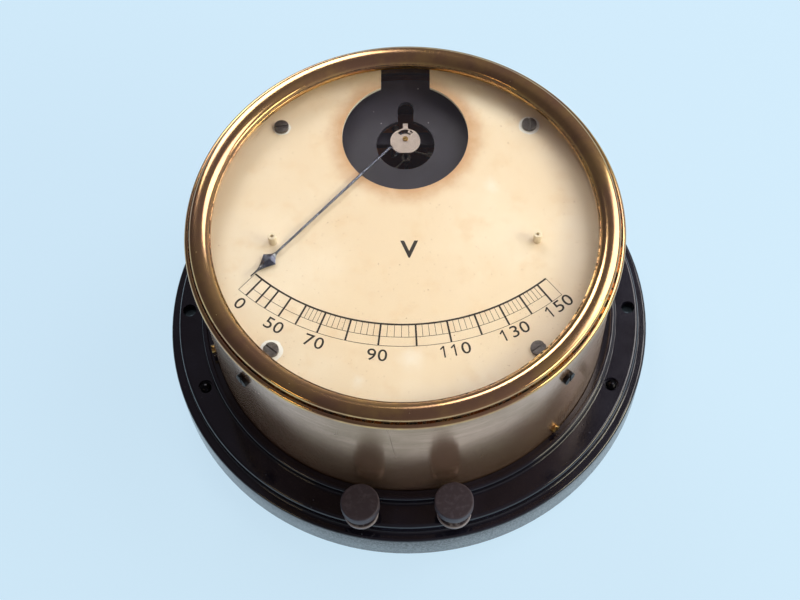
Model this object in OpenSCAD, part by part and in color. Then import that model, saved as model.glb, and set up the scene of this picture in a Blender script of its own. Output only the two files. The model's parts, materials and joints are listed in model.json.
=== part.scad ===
// Round panel voltmeter on a flanged base, moving-iron type, lying on its back.
// Origin at the centre of the back face, +Z out of the dial, -Y towards the terminals.
// Angles around the case are counted from -Y towards +X.

/* [Case] */
// Outer diameter of the brass bezel
bezel_d = 200; // [190:1:210]
// How far the bezel stands out past the drum
bezel_overhang = 2.5; // [1.5:0.1:4]
// Wall of the sheet brass drum
drum_wall = 1.5; // [1:0.1:2]
// Height of the drum above the flange
drum_h = 81.5; // [80:0.5:90]
// Radial width of the raised collar round the drum
collar_w = 5; // [3.5:0.1:7]
// Height of the collar above the flange
collar_h = 4.6; // [3:0.1:5.5]
// Radial width of the lower strip between the collar and the drum
strip_w = 2.3; // [1:0.1:2.6]
// Radial width of the flat flange
flange_w = 11.9; // [11:0.1:16]
// Radial width of the low ledge outside the flange
ledge_w = 4.6; // [4:0.1:8]
// Height of the ledge above the back face
ledge_h = 17.5; // [15:0.1:18.5]
// Height of the flange above the back face
flange_h = 24; // [22:0.1:28]
// Thickness of the cast floor
floor_t = 5; // [4:0.1:6]
// Thickness of the wall inside the flange's shoulder
rim_t = 3; // [2.5:0.1:3.4]

/* [Back plate] */
// Thickness of the back plate
plate_t = 2; // [1.5:0.1:3]
// How deep the back plate lies inside the rim
plate_inset = 0.5; // [0.3:0.1:1.5]

/* [Bezel and glass] */
// Radial width of the bezel's moulding, from its edge to the opening
lip_w = 12.2; // [11:0.1:14]
// Height of the lip's underside above the drum
lip_rise = 1; // [0.8:0.1:2.5]
// Thickness of the lip at its edge
lip_t = 1.1; // [0.8:0.1:2]
// Height of the moulding's crest above the lip's underside
crest_h = 4.6; // [3.5:0.1:6]
// Thickness of the skirt inside the drum
skirt_t = 1.9; // [1.5:0.1:2.4]
// Length of the skirt inside the drum
skirt_h = 24.5; // [23:0.5:28]
// Thickness of the glass
glass_t = 2.2; // [1.6:0.1:2.4]
// Thickness of the gasket under the glass
gasket_t = 0.7; // [0.5:0.1:1]
// Thickness of the ring that holds the glass
retainer_t = 1.4; // [1:0.1:1.6]

/* [Dial] */
// Depth of the dial's face below the drum's edge
dial_drop = 7.5; // [7.3:0.1:8.5]
// Thickness of the dial
dial_t = 1.5; // [1:0.1:2]
// Distance of the pointer's axis from the middle of the case
axis_y = 53.8; // [52:0.1:55]
// Radius of the round window in the dial
window_r = 29.9; // [28:0.1:31]
// Width of the window's neck
neck_w = 23.6; // [20:0.1:26]
// Half the spacing of the dial screws, along X and along Y
screw_half = 58.8; // [57:0.1:60]
// Radius of the dial screws' heads
dial_head_r = 3.5; // [3:0.1:3.8]
// Inner radius of the scale
scale_r = 100.2; // [99:0.1:101]
// Radial depth of the scale
scale_w = 10.7; // [8:0.1:11]
// Half the spacing of the stop pins
stop_x = 60.3; // [60:0.1:61]
// Place of the stop pins along Y
stop_y = -3.8; // [-5:0.1:-3]
// Height of the stop pins
stop_h = 5.8; // [4.5:0.1:6]
// Radius of the stop pins
stop_r = 1.9; // [1.5:0.1:2]

/* [Pointer] */
// Angle of the pointer at rest on the zero mark
rest_a = -42.4; // [-42.8:0.1:-42]
// How far the arrow's tip stops short of the scale
tip_gap = 0.2; // [0:0.1:2]
// Half width of the arrow at its barbs
barb_w = 3.9; // [3:0.1:4.5]
// Width of the needle
needle_w = 1.1; // [0.8:0.1:1.4]
// Thickness of the needle
needle_t = 0.6; // [0.4:0.1:0.8]
// Height of the needle above the dial
needle_gap = 1.2; // [1:0.1:1.6]
// Radius at which the pointer rises through the dial
riser_r = 9.2; // [8.8:0.1:10.5]

/* [Movement] */
// Depth of the movement plate's face below the dial's face
plate_drop = 8; // [7.5:0.1:9]
// Thickness of the movement plate
move_t = 2; // [1.5:0.1:2.4]
// Radius of the keyhole round the spindle
keyhole_r = 13.9; // [13:0.1:15]
// Width of the keyhole's slot
slot_w = 7.6; // [6:0.1:9]
// Reach of the keyhole's slot from the axis
slot_reach = 24.8; // [20:0.1:26]
// Radius of the spindle
spindle_r = 0.9; // [0.7:0.1:1.1]
// Radius of the spindle's pivots
pivot_r = 0.35; // [0.25:0.05:0.45]
// Radius of the upper bearing plate
bearing_r = 7.1; // [6.8:0.1:7.4]
// Width of the upper crossbar
bar_w = 6.8; // [6.5:0.1:8]
// Outer radius of the coil's flanges
coil_r = 30; // [26:0.5:31]
// Height of the damping box above the coil
box_h = 10.7; // [10:0.1:12]
// Inner radius of the coil bobbin
coil_bore = 13; // [12.5:0.1:13.4]
// Turns of the hairspring
spring_turns = 4; // [3:1:5]

/* [Fasteners] */
// Radius of the two mounting holes
mount_r = 3.35; // [2.5:0.05:3.5]
// Distance of the mounting holes in from the flange's shoulder
mount_in = 5.1; // [4.8:0.1:6]
// Angle of the cover screws from the middle line
cover_a = 67; // [62:1:72]
// Distance of the cover screws in from the flange's shoulder
cover_in = 7.2; // [6:0.1:7.4]
// Radius of the cover screws' domed heads
cover_head_r = 2.7; // [2.4:0.1:2.8]
// Depth of the bezel screws below the drum's edge
bezel_screw_drop = 20.5; // [19:0.5:21]
// Radius of the bezel screws' heads
bezel_head_r = 3.2; // [2.6:0.1:3.5]
// Angle of the brass foot screw that shows
foot_a = 45.4; // [40:0.1:50]
// Height of the foot screws above the flange
foot_h = 9; // [8.8:0.1:10]
// Radius of the foot screws' heads
foot_head_r = 2.2; // [1.8:0.1:2.6]

/* [Terminals] */
// Angle of each terminal from the middle line
term_a = 11.4; // [10.5:0.1:14]
// Distance of the terminals in from the flange's shoulder
term_in = 5.1; // [4.8:0.1:5.6]
// Radius of the knob's cap
knob_r = 9.05; // [8.2:0.05:9.3]
// Height of the knob's cap
cap_h = 5.8; // [5:0.1:6.4]
// Height of the knob's neck
knob_neck_h = 5; // [4:0.1:6]
// How far the right knob stands unscrewed
right_lift = 1.5; // [0.5:0.1:2]
// Radius of the terminal stud
stud_r = 2.5; // [2:0.1:2.6]

/* [Resistors] */
// Radius of the resistor spools' flanges
spool_r = 17; // [14:0.5:18]
// Space between the resistor spools and the movement plate
spool_clear = 14; // [11:1:22]
// Place of the resistors along X
spool_x = 38; // [34:1:42]
// Place of the resistors along Y
spool_y = -30; // [-34:1:-26]

/* [Hidden] */
$fn = 96;

// Clearances
free_gap = 0.3;
thread_gap = 0.05;
hole_gap = 0.2;
run_gap = 0.05;
slip_gap = 0.02;
seat_gap = 0.15;
eps = 0.5;

// Radii of the case, from the bezel inwards and outwards
bezel_r = bezel_d / 2;
lip_r = bezel_r - lip_w;
drum_out = bezel_r - bezel_overhang;
drum_in = drum_out - drum_wall;
skirt_out = drum_in - free_gap;
skirt_in = skirt_out - skirt_t;
collar_in = drum_out + hole_gap * 2;
collar_out = collar_in + collar_w;
shoulder_r = collar_out + flange_w;
base_r = shoulder_r + ledge_w;
rim_in = shoulder_r - rim_t;
spigot_t = 5;
strip_drop = 1.3;
edge_r = 1.5;
strip_edge_r = 0.6;
collar_edge_r = 1.2;
root_r = 0.8;
ledge_root_r = 1;
rim_edge_r = 1.2;
spigot_in = skirt_out - spigot_t;
spigot_h = 15;

// Heights of the case
floor_z = flange_h - floor_t;
collar_z = flange_h + collar_h;
drum_top = flange_h + drum_h;
lip_z = drum_top + lip_rise;
crest_z = lip_z + crest_h;
glass_z = lip_z - glass_t;
gasket_z = glass_z - gasket_t;
retainer_z = gasket_z - retainer_t;
skirt_z = drum_top - skirt_h;
plate_top = plate_inset + plate_t;

// Dial and movement plate
dial_z = drum_top - dial_drop;
dial_back = dial_z - dial_t;
dial_r = skirt_in - free_gap * 2;
move_top = dial_z - plate_drop;
move_z = move_top - move_t;
move_r = dial_r - 1.6;
ink_t = 0.06;
line_thick = 0.85;
line_thin = 0.22;
minor_w = scale_w * 0.42;
// Angles of the scale's main lines, which open up from zero
major_a = [-40.0, -37.0, -34.4, -30.5, -26.0, -20.5, -13.7, -6.0, 2.8, 10.8, 18.0, 24.8, 30.7, 36.4];
minor_from = 4;
end_a = 39.3;

// Small screws
m4_r = 1.9;
m4_hole = m4_r + hole_gap;
m4_tap = m4_r + thread_gap;
m3_r = 1.4;
m3_hole = m3_r + hole_gap;
m3_tap = m3_r + thread_gap;
head_slot = 0.9;
pillar_r = 4.5;
pillar_tap = 12;
m4_head_r = 3.6;
m4_head_h = 2.5;
m3_head_r = 2.6;
m3_head_h = 1.6;
m3_bite = 6;
m3_depth = 8;
thread_end = 2;
dial_head_h = 1.7;
bezel_head_h = 2;
foot_head_h = 1.8;
foot_end = 0.6;
head_lift = 0.05;
spacer_r = 4;

// Mounting holes and cover screws
mount_p = shoulder_r - mount_in;
mount_boss = mount_r + 4.2;
cover_p = shoulder_r - cover_in;
cover_boss = 4.6;
cover_r = 2;
cover_hole = cover_r + 0.1;
cover_sink = 1.2;
cover_angles = [cover_a, -cover_a, 180 - cover_a, cover_a - 180];
bezel_screw_angles = [47.5, 132.5, 227.5, 312.5];
foot_angles = [foot_a, foot_a + 120, foot_a + 240];
corners = [[1, 1], [-1, 1], [-1, -1], [1, -1]];

// Spindle line, from the back to the front
bridge_t = 3;
bridge_w = 14;
bridge_z = flange_h + 7;
bobbin_z = bridge_z + bridge_t;
bar_t = 3;
bar_drop = 5.5;
bar_z = move_z - bar_drop - bar_t;
box_over = 3.2;
box_z = bar_z + box_over - box_h;
coil_h = box_z - bobbin_z;
bobbin_wall = 1.5;
cheek_t = 2;
post_x = coil_r + 7;
post_r = 3;
coil_screw_x = coil_r - 8;
jewel_top = bobbin_z + 1.6;
jewel_depth = 1.2;
spindle_z = jewel_top + 0.4;
bearing_drop = 2.8;
bearing_t = 1;
bearing_top = dial_z - bearing_drop;
bearing_z = bearing_top - bearing_t;
bearing_shift = 1.2;
bearing_flat = 6.6;
boss_r = 2.4;
boss_h = 2;
boss_z = bearing_z - boss_h;
top_screw_r = 1.3;
top_screw_z = boss_z + 0.4;
top_jewel = 0.8;
spindle_top = boss_z - 0.2;
pivot_top = top_screw_z + top_jewel - 0.2;
lever_z = boss_z + 0.2;
lever_t = 0.5;
lever_a = 66;
lever_pin_p = 4.1;
lever_pin_r = 0.6;
lever_stud_p = 5.9;
lever_stud_r = 0.35;
kidney_in = 3;
kidney_out = 5.2;
kidney_a0 = 44;
kidney_a1 = 136;
collet_r = 1.9;
collet_h = 1.2;
collet_z = spindle_top - collet_h;
spring_t = 0.2;
spring_h = 0.6;
spring_z = collet_z + 0.3;
spring_r0 = collet_r + 0.1;
spring_r1 = lever_stud_p - lever_stud_r - spring_t / 2 - 0.05;
hub_r = 2.6;
hub_h = 2.6;
hub_z = collet_z - 0.2 - hub_h;
needle_z = dial_z + needle_gap;
arm_t = 0.8;
arm_w = 1.4;
arm_z = hub_z + 0.9;
tip_r = scale_r - tip_gap;
arrow_l = 15;
barb_back = 9;
spike_l = 3;

// Balance arms, crossbar and the leg of the bearing plate
balance_z = hub_z - 3;
balance_h = 2;
balance_a = 115;
balance_p = 11;
balance_l = 14.5;
weight_r = 1.7;
weight_l = 2.5;
wire_r = 0.5;
bar_top = bar_z + bar_t;
bar_y = axis_y + 8.6;
bar_x = 38;
bar_post_x = 33;
bar_post_r = 3;
leg_w = 2.4;
leg_y = 7.6;
leg_t = 1.2;
foot_l = 4.2;
foot_t = 0.8;
foot_screw_y = leg_y + leg_t + 1.5;
foot_screw_r = 0.85;
foot_screw_head_r = 1.4;
foot_screw_head_h = 0.9;

// Damping box above the coil
box_t = 1;
box_in = 15;
box_out = 37;
box_a = 57;
box_slot = 2;
wall_in = 1.2;
wall_a = 1.6;
lid_step = 0.2;
vane_z = box_z + box_h / 2 + 0.4;
vane_h = box_h - 3.6;
vane_t = 0.6;
vane_in = box_in + box_t + 1;
vane_out = box_out - box_t - 0.7;
vane_hub_r = 2.2;

// Irons inside the coil
iron_z = bobbin_z + 6;
iron_h = coil_h - 12;
fixed_out = coil_bore - 0.2;
iron_t = 0.8;
moving_out = fixed_out - iron_t - 1.6;
spoke_w = 1.2;
spoke_h = 2;

// Resistors
spool_cheek = 2;
spool_core = 6;
rod_r = 2;
spool_h = move_z - flange_h - spool_clear;
rod_top = flange_h + spool_h + 6;
nut_h = 3.2;

// Terminals
term_p = shoulder_r - term_in;
bush_r = 8.1;
bush_h = 1.6;
seat_sink = 0.1;
sleeve_r = 4;
term_hole = sleeve_r + 0.1;
face_r = 5.4;
face_h = 1.4;
face_z = flange_h + bush_h;
washer_z = face_z + face_h + seat_gap;
washer_h = 1;
washer_r = 6;
knob_z = washer_z + washer_h + seat_gap;
knob_h = knob_neck_h + cap_h;
knob_neck_r = 5.7;
knob_roof = 1.4;
knob_under_r = 0.4;
knob_edge_r = 0.7;
stud_top = knob_z + knob_h - knob_roof - 1;
stud_z = 8;
inner_bush_h = 2;
spot_h = 0.2;
inner_bush_r = 4.6;
inner_washer_r = 4.4;
lug_r = 4.2;
stud_nut_af = 7;
inner_washer_h = 1;
stud_nut_h = 4;
lug_h = 0.8;

// Wires
lead_r = 0.9;
lead_z = floor_z - inner_bush_h - inner_washer_h - stud_nut_h - lug_h / 2;
lead_hole = [30, -72];
lead_hole_r = 4;
lead_top = flange_h + spool_h - 8;

// Points of an arc, for outlines
function arc(cx, cy, r, a0, a1, n = 6) = [for (i = [0:n]) let (a = a0 + (a1 - a0) * i / n)
  [cx + r * cos(a), cy + r * sin(a)]];

// Puts children at angle a from -Y and radius r
module polar(a, r) rotate([0, 0, a - 90]) translate([r, 0, 0]) children();

// Puts children round the spindle
module on_axis(z = 0) translate([0, axis_y, z]) children();

// A plain ring
module ring(ro, ri, h) {
  difference() {
    cylinder(r = ro, h = h);
    translate([0, 0, -eps]) cylinder(r = ri, h = h + 2 * eps);
  }
}

// Part of a ring between two angles counted from +X
module sector(ro, ri, h, a0, a1) {
  rotate([0, 0, a0]) rotate_extrude(angle = a1 - a0) translate([ri, 0]) square([ro - ri, h]);
}

// A slotted screw: the head stands on z = 0 and the shank hangs below
module screw(head_r, head_h, shank_r, shank_l, slot_d = 0.7) {
  difference() {
    union() {
      cylinder(r = head_r, h = head_h);
      translate([0, 0, -shank_l]) cylinder(r = shank_r, h = shank_l + head_h / 2);
    }
    translate([-head_r - eps, -head_slot / 2, head_h - slot_d])
      cube([2 * (head_r + eps), head_slot, slot_d + eps]);
  }
}

// A hexagonal nut across flats af
module nut(af, bore, h) {
  difference() {
    cylinder(r = af / 2 / cos(30), h = h, $fn = 6);
    translate([0, 0, -eps]) cylinder(r = bore, h = h + 2 * eps);
  }
}

// A straight wire between two points
module wire(a, b, r) {
  d = b - a;
  l = norm(d);
  translate(a) rotate([0, acos(d[2] / l), atan2(d[1], d[0])]) cylinder(r = r, h = l, $fn = 24);
}

// Wires through a list of points, with a soldered bead at each bend
bead_scale = 1.5;
module wire_run(pts, r) {
  for (i = [0:len(pts) - 2]) wire(pts[i], pts[i + 1], r);
  for (i = [1:len(pts) - 2]) translate(pts[i]) sphere(r = r * bead_scale, $fn = 24);
}

base_outline = concat(
  [[0, floor_z], [0, flange_h], [spigot_in, flange_h], [spigot_in, flange_h + spigot_h]],
  [[skirt_out, flange_h + spigot_h], [skirt_out, flange_h], [collar_in, flange_h]],
  [[collar_in, collar_z - strip_drop], [collar_in + strip_w, collar_z - strip_drop]],
  arc(collar_in + strip_w + strip_edge_r, collar_z - strip_edge_r, strip_edge_r, 180, 90),
  arc(collar_out - collar_edge_r, collar_z - collar_edge_r, collar_edge_r, 90, 0),
  arc(collar_out + root_r, flange_h + root_r, root_r, 180, 270),
  arc(shoulder_r - edge_r, flange_h - edge_r, edge_r, 90, 0),
  arc(shoulder_r + ledge_root_r, ledge_h + ledge_root_r, ledge_root_r, 180, 270),
  arc(base_r - rim_edge_r, ledge_h - rim_edge_r, rim_edge_r, 90, 0),
  [[base_r, 0], [rim_in, 0], [rim_in, floor_z]]
);

module base_casting() color([0.09, 0.1, 0.13]) {
  difference() {
    union() {
      rotate_extrude() polygon(base_outline);
      intersection() {
        cylinder(r = rim_in + 1, h = floor_z + 1);
        for (s = [-90, 90]) polar(s, mount_p) cylinder(r = mount_boss, h = floor_z + 1);
      }
      for (a = cover_angles) polar(a, cover_p)
        translate([0, 0, plate_top]) cylinder(r = cover_boss, h = floor_z + 1 - plate_top);
    }
    for (s = [-90, 90]) polar(s, mount_p)
      translate([0, 0, -eps]) cylinder(r = mount_r, h = flange_h + 2 * eps);
    for (a = cover_angles) polar(a, cover_p) {
      cylinder(r = cover_hole, h = flange_h + eps);
      translate([0, 0, flange_h - cover_sink]) cylinder(r = cover_head_r + 0.8, h = cover_sink + eps);
    }
    intersection() {
      translate([0, 0, flange_h - seat_sink]) cylinder(r = term_p, h = collar_h + eps);
      for (s = [-1, 1]) polar(s * term_a, term_p)
        translate([0, 0, flange_h - eps]) cylinder(r = bush_r + free_gap, h = collar_h + 2 * eps);
    }
    for (s = [-1, 1]) polar(s * term_a, term_p) {
      translate([0, 0, floor_z - eps]) cylinder(r = term_hole, h = floor_t + 2 * eps);
      translate([0, 0, stud_z - 2]) cylinder(r = inner_bush_r + free_gap, h = floor_z - stud_z + 2 + spot_h);
    }
    for (c = corners) translate([c[0] * screw_half, c[1] * screw_half, floor_z - eps])
      cylinder(r = m4_hole, h = floor_t + 2 * eps);
    for (s = [-1, 1]) {
      translate([s * spool_x, spool_y, floor_z - eps]) cylinder(r = rod_r + hole_gap, h = floor_t + 2 * eps);
      translate([s * lead_hole[0], lead_hole[1], floor_z - eps])
        cylinder(r = lead_hole_r, h = floor_t + 2 * eps);
    }
    for (a = foot_angles) polar(a, spigot_in - eps)
      translate([0, 0, flange_h + foot_h]) rotate([0, 90, 0]) cylinder(r = m3_tap, h = spigot_t + 2 * eps);
  }
}

module back_plate() color([0.16, 0.15, 0.14]) {
  translate([0, 0, plate_inset]) difference() {
    cylinder(r = rim_in - free_gap - 0.1, h = plate_t);
    for (s = [-90, 90]) polar(s, mount_p)
      translate([0, 0, -eps]) cylinder(r = mount_boss + free_gap + 0.1, h = plate_t + 2 * eps);
    for (a = cover_angles) polar(a, cover_p)
      translate([0, 0, -eps]) cylinder(r = cover_r + thread_gap, h = plate_t + 2 * eps);
  }
}

module cover_screws() color([0.06, 0.06, 0.07]) {
  head_z = flange_h - cover_sink;
  dome_h = cover_head_r * 0.55;
  dome_r = (cover_head_r * cover_head_r + dome_h * dome_h) / (2 * dome_h);
  for (a = cover_angles) polar(a, cover_p) {
    translate([0, 0, plate_inset + 0.2]) cylinder(r = cover_r, h = head_z - plate_inset + 0.2);
    translate([0, 0, head_z]) cylinder(r = cover_head_r, h = 0.6);
    intersection() {
      translate([0, 0, head_z + 0.6 + dome_h - dome_r]) sphere(r = dome_r);
      translate([0, 0, head_z + 0.5]) cylinder(r = cover_head_r, h = dome_h + 1);
    }
  }
}

module case_drum() color([0.62, 0.57, 0.47]) {
  difference() {
    translate([0, 0, flange_h]) ring(drum_out, drum_in, drum_h);
    for (a = bezel_screw_angles) polar(a, drum_in - eps)
      translate([0, 0, drum_top - bezel_screw_drop]) rotate([0, 90, 0])
        cylinder(r = m4_hole, h = drum_wall + 2 * eps);
    for (a = foot_angles) polar(a, drum_in - eps)
      translate([0, 0, flange_h + foot_h]) rotate([0, 90, 0])
        cylinder(r = m3_hole, h = drum_wall + 2 * eps);
  }
}

module drum_foot_screws() color([0.72, 0.56, 0.25]) {
  for (a = foot_angles) polar(a, drum_out + head_lift)
    translate([0, 0, flange_h + foot_h]) rotate([0, 90, 0])
      screw(foot_head_r, foot_head_h, m3_r, drum_wall + free_gap + spigot_t - foot_end);
}

// The moulding, from the outer bead inwards: bead, groove, thin bead, broad round and lip
bead_r = 0.95;
bead_rise = 0.05;
under_r = 0.4;
groove_in = 1.95;
groove_rise = 0.6;
thin_bead_r = 0.6;
thin_bead_in = 2.65;
thin_bead_rise = 1.25;
cove_in = 3.7;
cove_rise = 1.4;
round_r = 3.4;
round_in = 7.4;
bezel_outline = concat(
  [[skirt_in, skirt_z], [skirt_out, skirt_z], [skirt_out, drum_top]],
  arc(bezel_r - under_r, drum_top + under_r, under_r, 270, 360, 4),
  arc(bezel_r - bead_r, lip_z + bead_rise, bead_r, 0, 120, 8),
  [[bezel_r - groove_in, lip_z + groove_rise]],
  arc(bezel_r - thin_bead_in, lip_z + thin_bead_rise, thin_bead_r, -30, 150, 6),
  [[bezel_r - cove_in, lip_z + cove_rise]],
  arc(bezel_r - round_in, crest_z - round_r, round_r, 8, 150, 14),
  arc(lip_r + lip_t, lip_z + lip_t, lip_t, 60, 180, 6),
  [[lip_r, lip_z], [skirt_in, lip_z]]
);

module bezel() color([0.71, 0.55, 0.24]) {
  difference() {
    rotate_extrude($fn = 180) polygon(bezel_outline);
    for (a = bezel_screw_angles) polar(a, skirt_in - eps)
      translate([0, 0, drum_top - bezel_screw_drop]) rotate([0, 90, 0])
        cylinder(r = m4_tap, h = skirt_t + 2 * eps);
  }
}

module bezel_screws() color([0.24, 0.22, 0.2]) {
  for (a = bezel_screw_angles) polar(a, drum_out + head_lift)
    translate([0, 0, drum_top - bezel_screw_drop]) rotate([0, 90, 0])
      screw(bezel_head_r, bezel_head_h, m4_r, drum_wall + free_gap + skirt_t);
}

module cover_glass() color([0.85, 0.92, 0.93, 0.25]) {
  translate([0, 0, glass_z]) cylinder(r = skirt_in - free_gap, h = glass_t);
}

module glass_gasket() color([0.3, 0.22, 0.17]) {
  translate([0, 0, gasket_z]) ring(skirt_in - free_gap, lip_r + 1.4, gasket_t);
}

module glass_retainer() color([0.6, 0.48, 0.24]) {
  translate([0, 0, retainer_z]) ring(skirt_in - hole_gap, lip_r + 1.8, retainer_t);
}

module dial_plate() color([0.93, 0.87, 0.74]) {
  translate([0, 0, dial_back]) difference() {
    cylinder(r = dial_r, h = dial_t, $fn = 180);
    translate([0, axis_y, -eps]) cylinder(r = window_r, h = dial_t + 2 * eps, $fn = 180);
    translate([-neck_w / 2, axis_y, -eps]) cube([neck_w, dial_r, dial_t + 2 * eps]);
    for (c = corners) translate([c[0] * screw_half, c[1] * screw_half, -eps])
      cylinder(r = m4_hole, h = dial_t + 2 * eps);
    for (s = [-1, 1]) translate([s * stop_x, stop_y, -eps]) cylinder(r = 1.1, h = dial_t + 2 * eps);
  }
}

// A radial line of the scale
module tick(a, r0, r1, w) {
  polar(a, r0) translate([0, -w / 2, 0]) cube([r1 - r0, w, ink_t]);
}

// A curved line of the scale between two angles
module scale_arc(r, w, a0, a1) {
  sector(r + w / 2, r - w / 2, ink_t, a0 - 90, a1 - 90);
}

module scale_marks() color([0.12, 0.1, 0.09]) {
  outer_r = scale_r + scale_w;
  minor_r = scale_r + scale_w - minor_w;
  last = len(major_a) - 1;
  on_axis(dial_z) {
    scale_arc(scale_r, line_thick, rest_a, end_a);
    scale_arc(outer_r, line_thin, rest_a, end_a);
    scale_arc(minor_r, line_thin, major_a[0], major_a[last]);
    tick(rest_a, scale_r, outer_r, line_thin);
    tick(end_a, scale_r, outer_r, line_thin);
    for (a = major_a) tick(a, scale_r, outer_r, line_thick);
    for (i = [minor_from:last - 1]) for (j = [1:4])
      tick(major_a[i] + (major_a[i + 1] - major_a[i]) * j / 5, scale_r, minor_r, line_thin);
  }
}

module dial_screws() color([0.3, 0.28, 0.26]) {
  for (c = corners) translate([c[0] * screw_half, c[1] * screw_half, dial_z])
    rotate([0, 0, 25 + 40 * c[0] + 25 * c[1]])
      screw(dial_head_r, dial_head_h, m4_r, dial_z - move_z + pillar_tap - thread_end);
}

module dial_spacers() color([0.7, 0.58, 0.32]) {
  for (c = corners) translate([c[0] * screw_half, c[1] * screw_half, move_top])
    ring(spacer_r, m4_hole, dial_back - move_top);
}

module stop_pins() color([0.88, 0.83, 0.76]) {
  for (s = [-1, 1]) translate([s * stop_x, stop_y, dial_z]) difference() {
    union() {
      cylinder(r = stop_r, h = stop_h, $fn = 48);
      translate([0, 0, -dial_t]) cylinder(r = 1, h = dial_t + 1, $fn = 48);
    }
    translate([0, 0, stop_h - 3]) cylinder(r = 0.75, h = 3 + eps, $fn = 32);
  }
}

module movement_plate() color([0.1, 0.1, 0.12]) {
  translate([0, 0, move_z]) difference() {
    cylinder(r = move_r, h = move_t, $fn = 180);
    translate([0, axis_y, -eps]) cylinder(r = keyhole_r, h = move_t + 2 * eps);
    translate([-slot_w / 2, axis_y, -eps]) cube([slot_w, slot_reach - slot_w / 2, move_t + 2 * eps]);
    translate([0, axis_y + slot_reach - slot_w / 2, -eps]) cylinder(r = slot_w / 2, h = move_t + 2 * eps);
    for (c = corners) translate([c[0] * screw_half, c[1] * screw_half, -eps])
      cylinder(r = m4_hole, h = move_t + 2 * eps);
    for (s = [-1, 1]) {
      translate([s * post_x, axis_y, -eps]) cylinder(r = m3_hole, h = move_t + 2 * eps);
      translate([s * bar_post_x, bar_y, -eps]) cylinder(r = m3_hole, h = move_t + 2 * eps);
    }
  }
}

module case_pillars() color([0.7, 0.58, 0.32]) {
  for (c = corners) translate([c[0] * screw_half, c[1] * screw_half, flange_h]) difference() {
    cylinder(r = pillar_r, h = move_z - flange_h);
    translate([0, 0, -eps]) cylinder(r = m4_tap, h = pillar_tap + eps);
    translate([0, 0, move_z - flange_h - pillar_tap]) cylinder(r = m4_tap, h = pillar_tap + eps);
  }
}

module pillar_screws() color([0.35, 0.33, 0.3]) {
  for (c = corners) translate([c[0] * screw_half, c[1] * screw_half, floor_z])
    rotate([180, 0, 0]) screw(m4_head_r, m4_head_h, m4_r, floor_t + pillar_tap - thread_end);
}

module frame_posts() color([0.7, 0.58, 0.32]) {
  h = move_z - bobbin_z;
  for (s = [-1, 1]) translate([s * post_x, axis_y, bobbin_z]) difference() {
    cylinder(r = post_r, h = h);
    translate([0, 0, -eps]) cylinder(r = m3_tap, h = m3_depth + eps);
    translate([0, 0, h - m3_depth]) cylinder(r = m3_tap, h = m3_depth + eps);
  }
}

module frame_screws() color([0.35, 0.33, 0.3]) {
  for (s = [-1, 1]) {
    translate([s * post_x, axis_y, move_top]) screw(m3_head_r, m3_head_h, m3_r, move_t + m3_bite);
    translate([s * post_x, axis_y, bridge_z]) rotate([180, 0, 0]) screw(m3_head_r, m3_head_h, m3_r, bridge_t + m3_bite);
  }
}

module lower_bridge() color([0.66, 0.54, 0.3]) {
  l = post_x + 6;
  difference() {
    translate([-l, axis_y - bridge_w / 2, bridge_z]) cube([2 * l, bridge_w, bridge_t]);
    on_axis(bridge_z - eps) cylinder(r = stud_r + thread_gap, h = bridge_t + 2 * eps);
    for (s = [-1, 1]) {
      translate([s * post_x, axis_y, bridge_z - eps]) cylinder(r = m3_hole, h = bridge_t + 2 * eps);
      translate([s * coil_screw_x, axis_y, bridge_z - eps]) cylinder(r = m3_hole, h = bridge_t + 2 * eps);
    }
  }
}

module coil_bobbin() color([0.42, 0.26, 0.14]) {
  on_axis() difference() {
    translate([0, 0, bobbin_z]) union() {
      cylinder(r = coil_bore + bobbin_wall, h = coil_h);
      cylinder(r = coil_r, h = cheek_t);
      translate([0, 0, coil_h - cheek_t]) cylinder(r = coil_r, h = cheek_t);
    }
    translate([0, 0, bobbin_z - eps]) cylinder(r = coil_bore, h = coil_h + 2 * eps);
    for (s = [-1, 1]) translate([s * coil_screw_x, 0, bobbin_z - eps])
      cylinder(r = m3_tap, h = cheek_t + 2 * eps);
  }
}

module coil_winding() color([0.5, 0.2, 0.1]) {
  on_axis(bobbin_z + cheek_t + 0.1)
    ring(coil_r - 1.5, coil_bore + bobbin_wall + 0.2, coil_h - 2 * cheek_t - 0.2);
}

module coil_screws() color([0.35, 0.33, 0.3]) {
  for (s = [-1, 1]) translate([s * coil_screw_x, axis_y, bridge_z])
    rotate([180, 0, 0]) screw(m3_head_r, m3_head_h, m3_r, bridge_t + cheek_t - hole_gap);
}

module fixed_iron() color([0.45, 0.45, 0.47]) {
  on_axis(iron_z) sector(fixed_out, fixed_out - iron_t, iron_h, 170, 290);
}

module spindle() color([0.6, 0.61, 0.63]) {
  on_axis() {
    translate([0, 0, spindle_z]) cylinder(r = spindle_r, h = spindle_top - spindle_z, $fn = 48);
    translate([0, 0, jewel_top - jewel_depth + 0.2])
      cylinder(r = pivot_r, h = spindle_z - jewel_top + jewel_depth, $fn = 48);
    translate([0, 0, spindle_top - 0.2]) cylinder(r = pivot_r, h = pivot_top - spindle_top + 0.2, $fn = 48);
  }
}

module moving_iron() color([0.5, 0.5, 0.52]) {
  mid_a = rest_a - 90;
  on_axis(iron_z + 2) {
    sector(moving_out, moving_out - iron_t, iron_h - 4, mid_a - 30, mid_a + 30);
    for (z = [1, iron_h - 4 - spoke_h - 1]) translate([0, 0, z]) difference() {
      union() {
        cylinder(r = 2.2, h = spoke_h, $fn = 48);
        rotate([0, 0, mid_a]) translate([0, -spoke_w / 2, 0])
          cube([moving_out - iron_t / 2, spoke_w, spoke_h]);
      }
      translate([0, 0, -eps]) cylinder(r = spindle_r + slip_gap, h = spoke_h + 2 * eps, $fn = 48);
    }
  }
}

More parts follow.
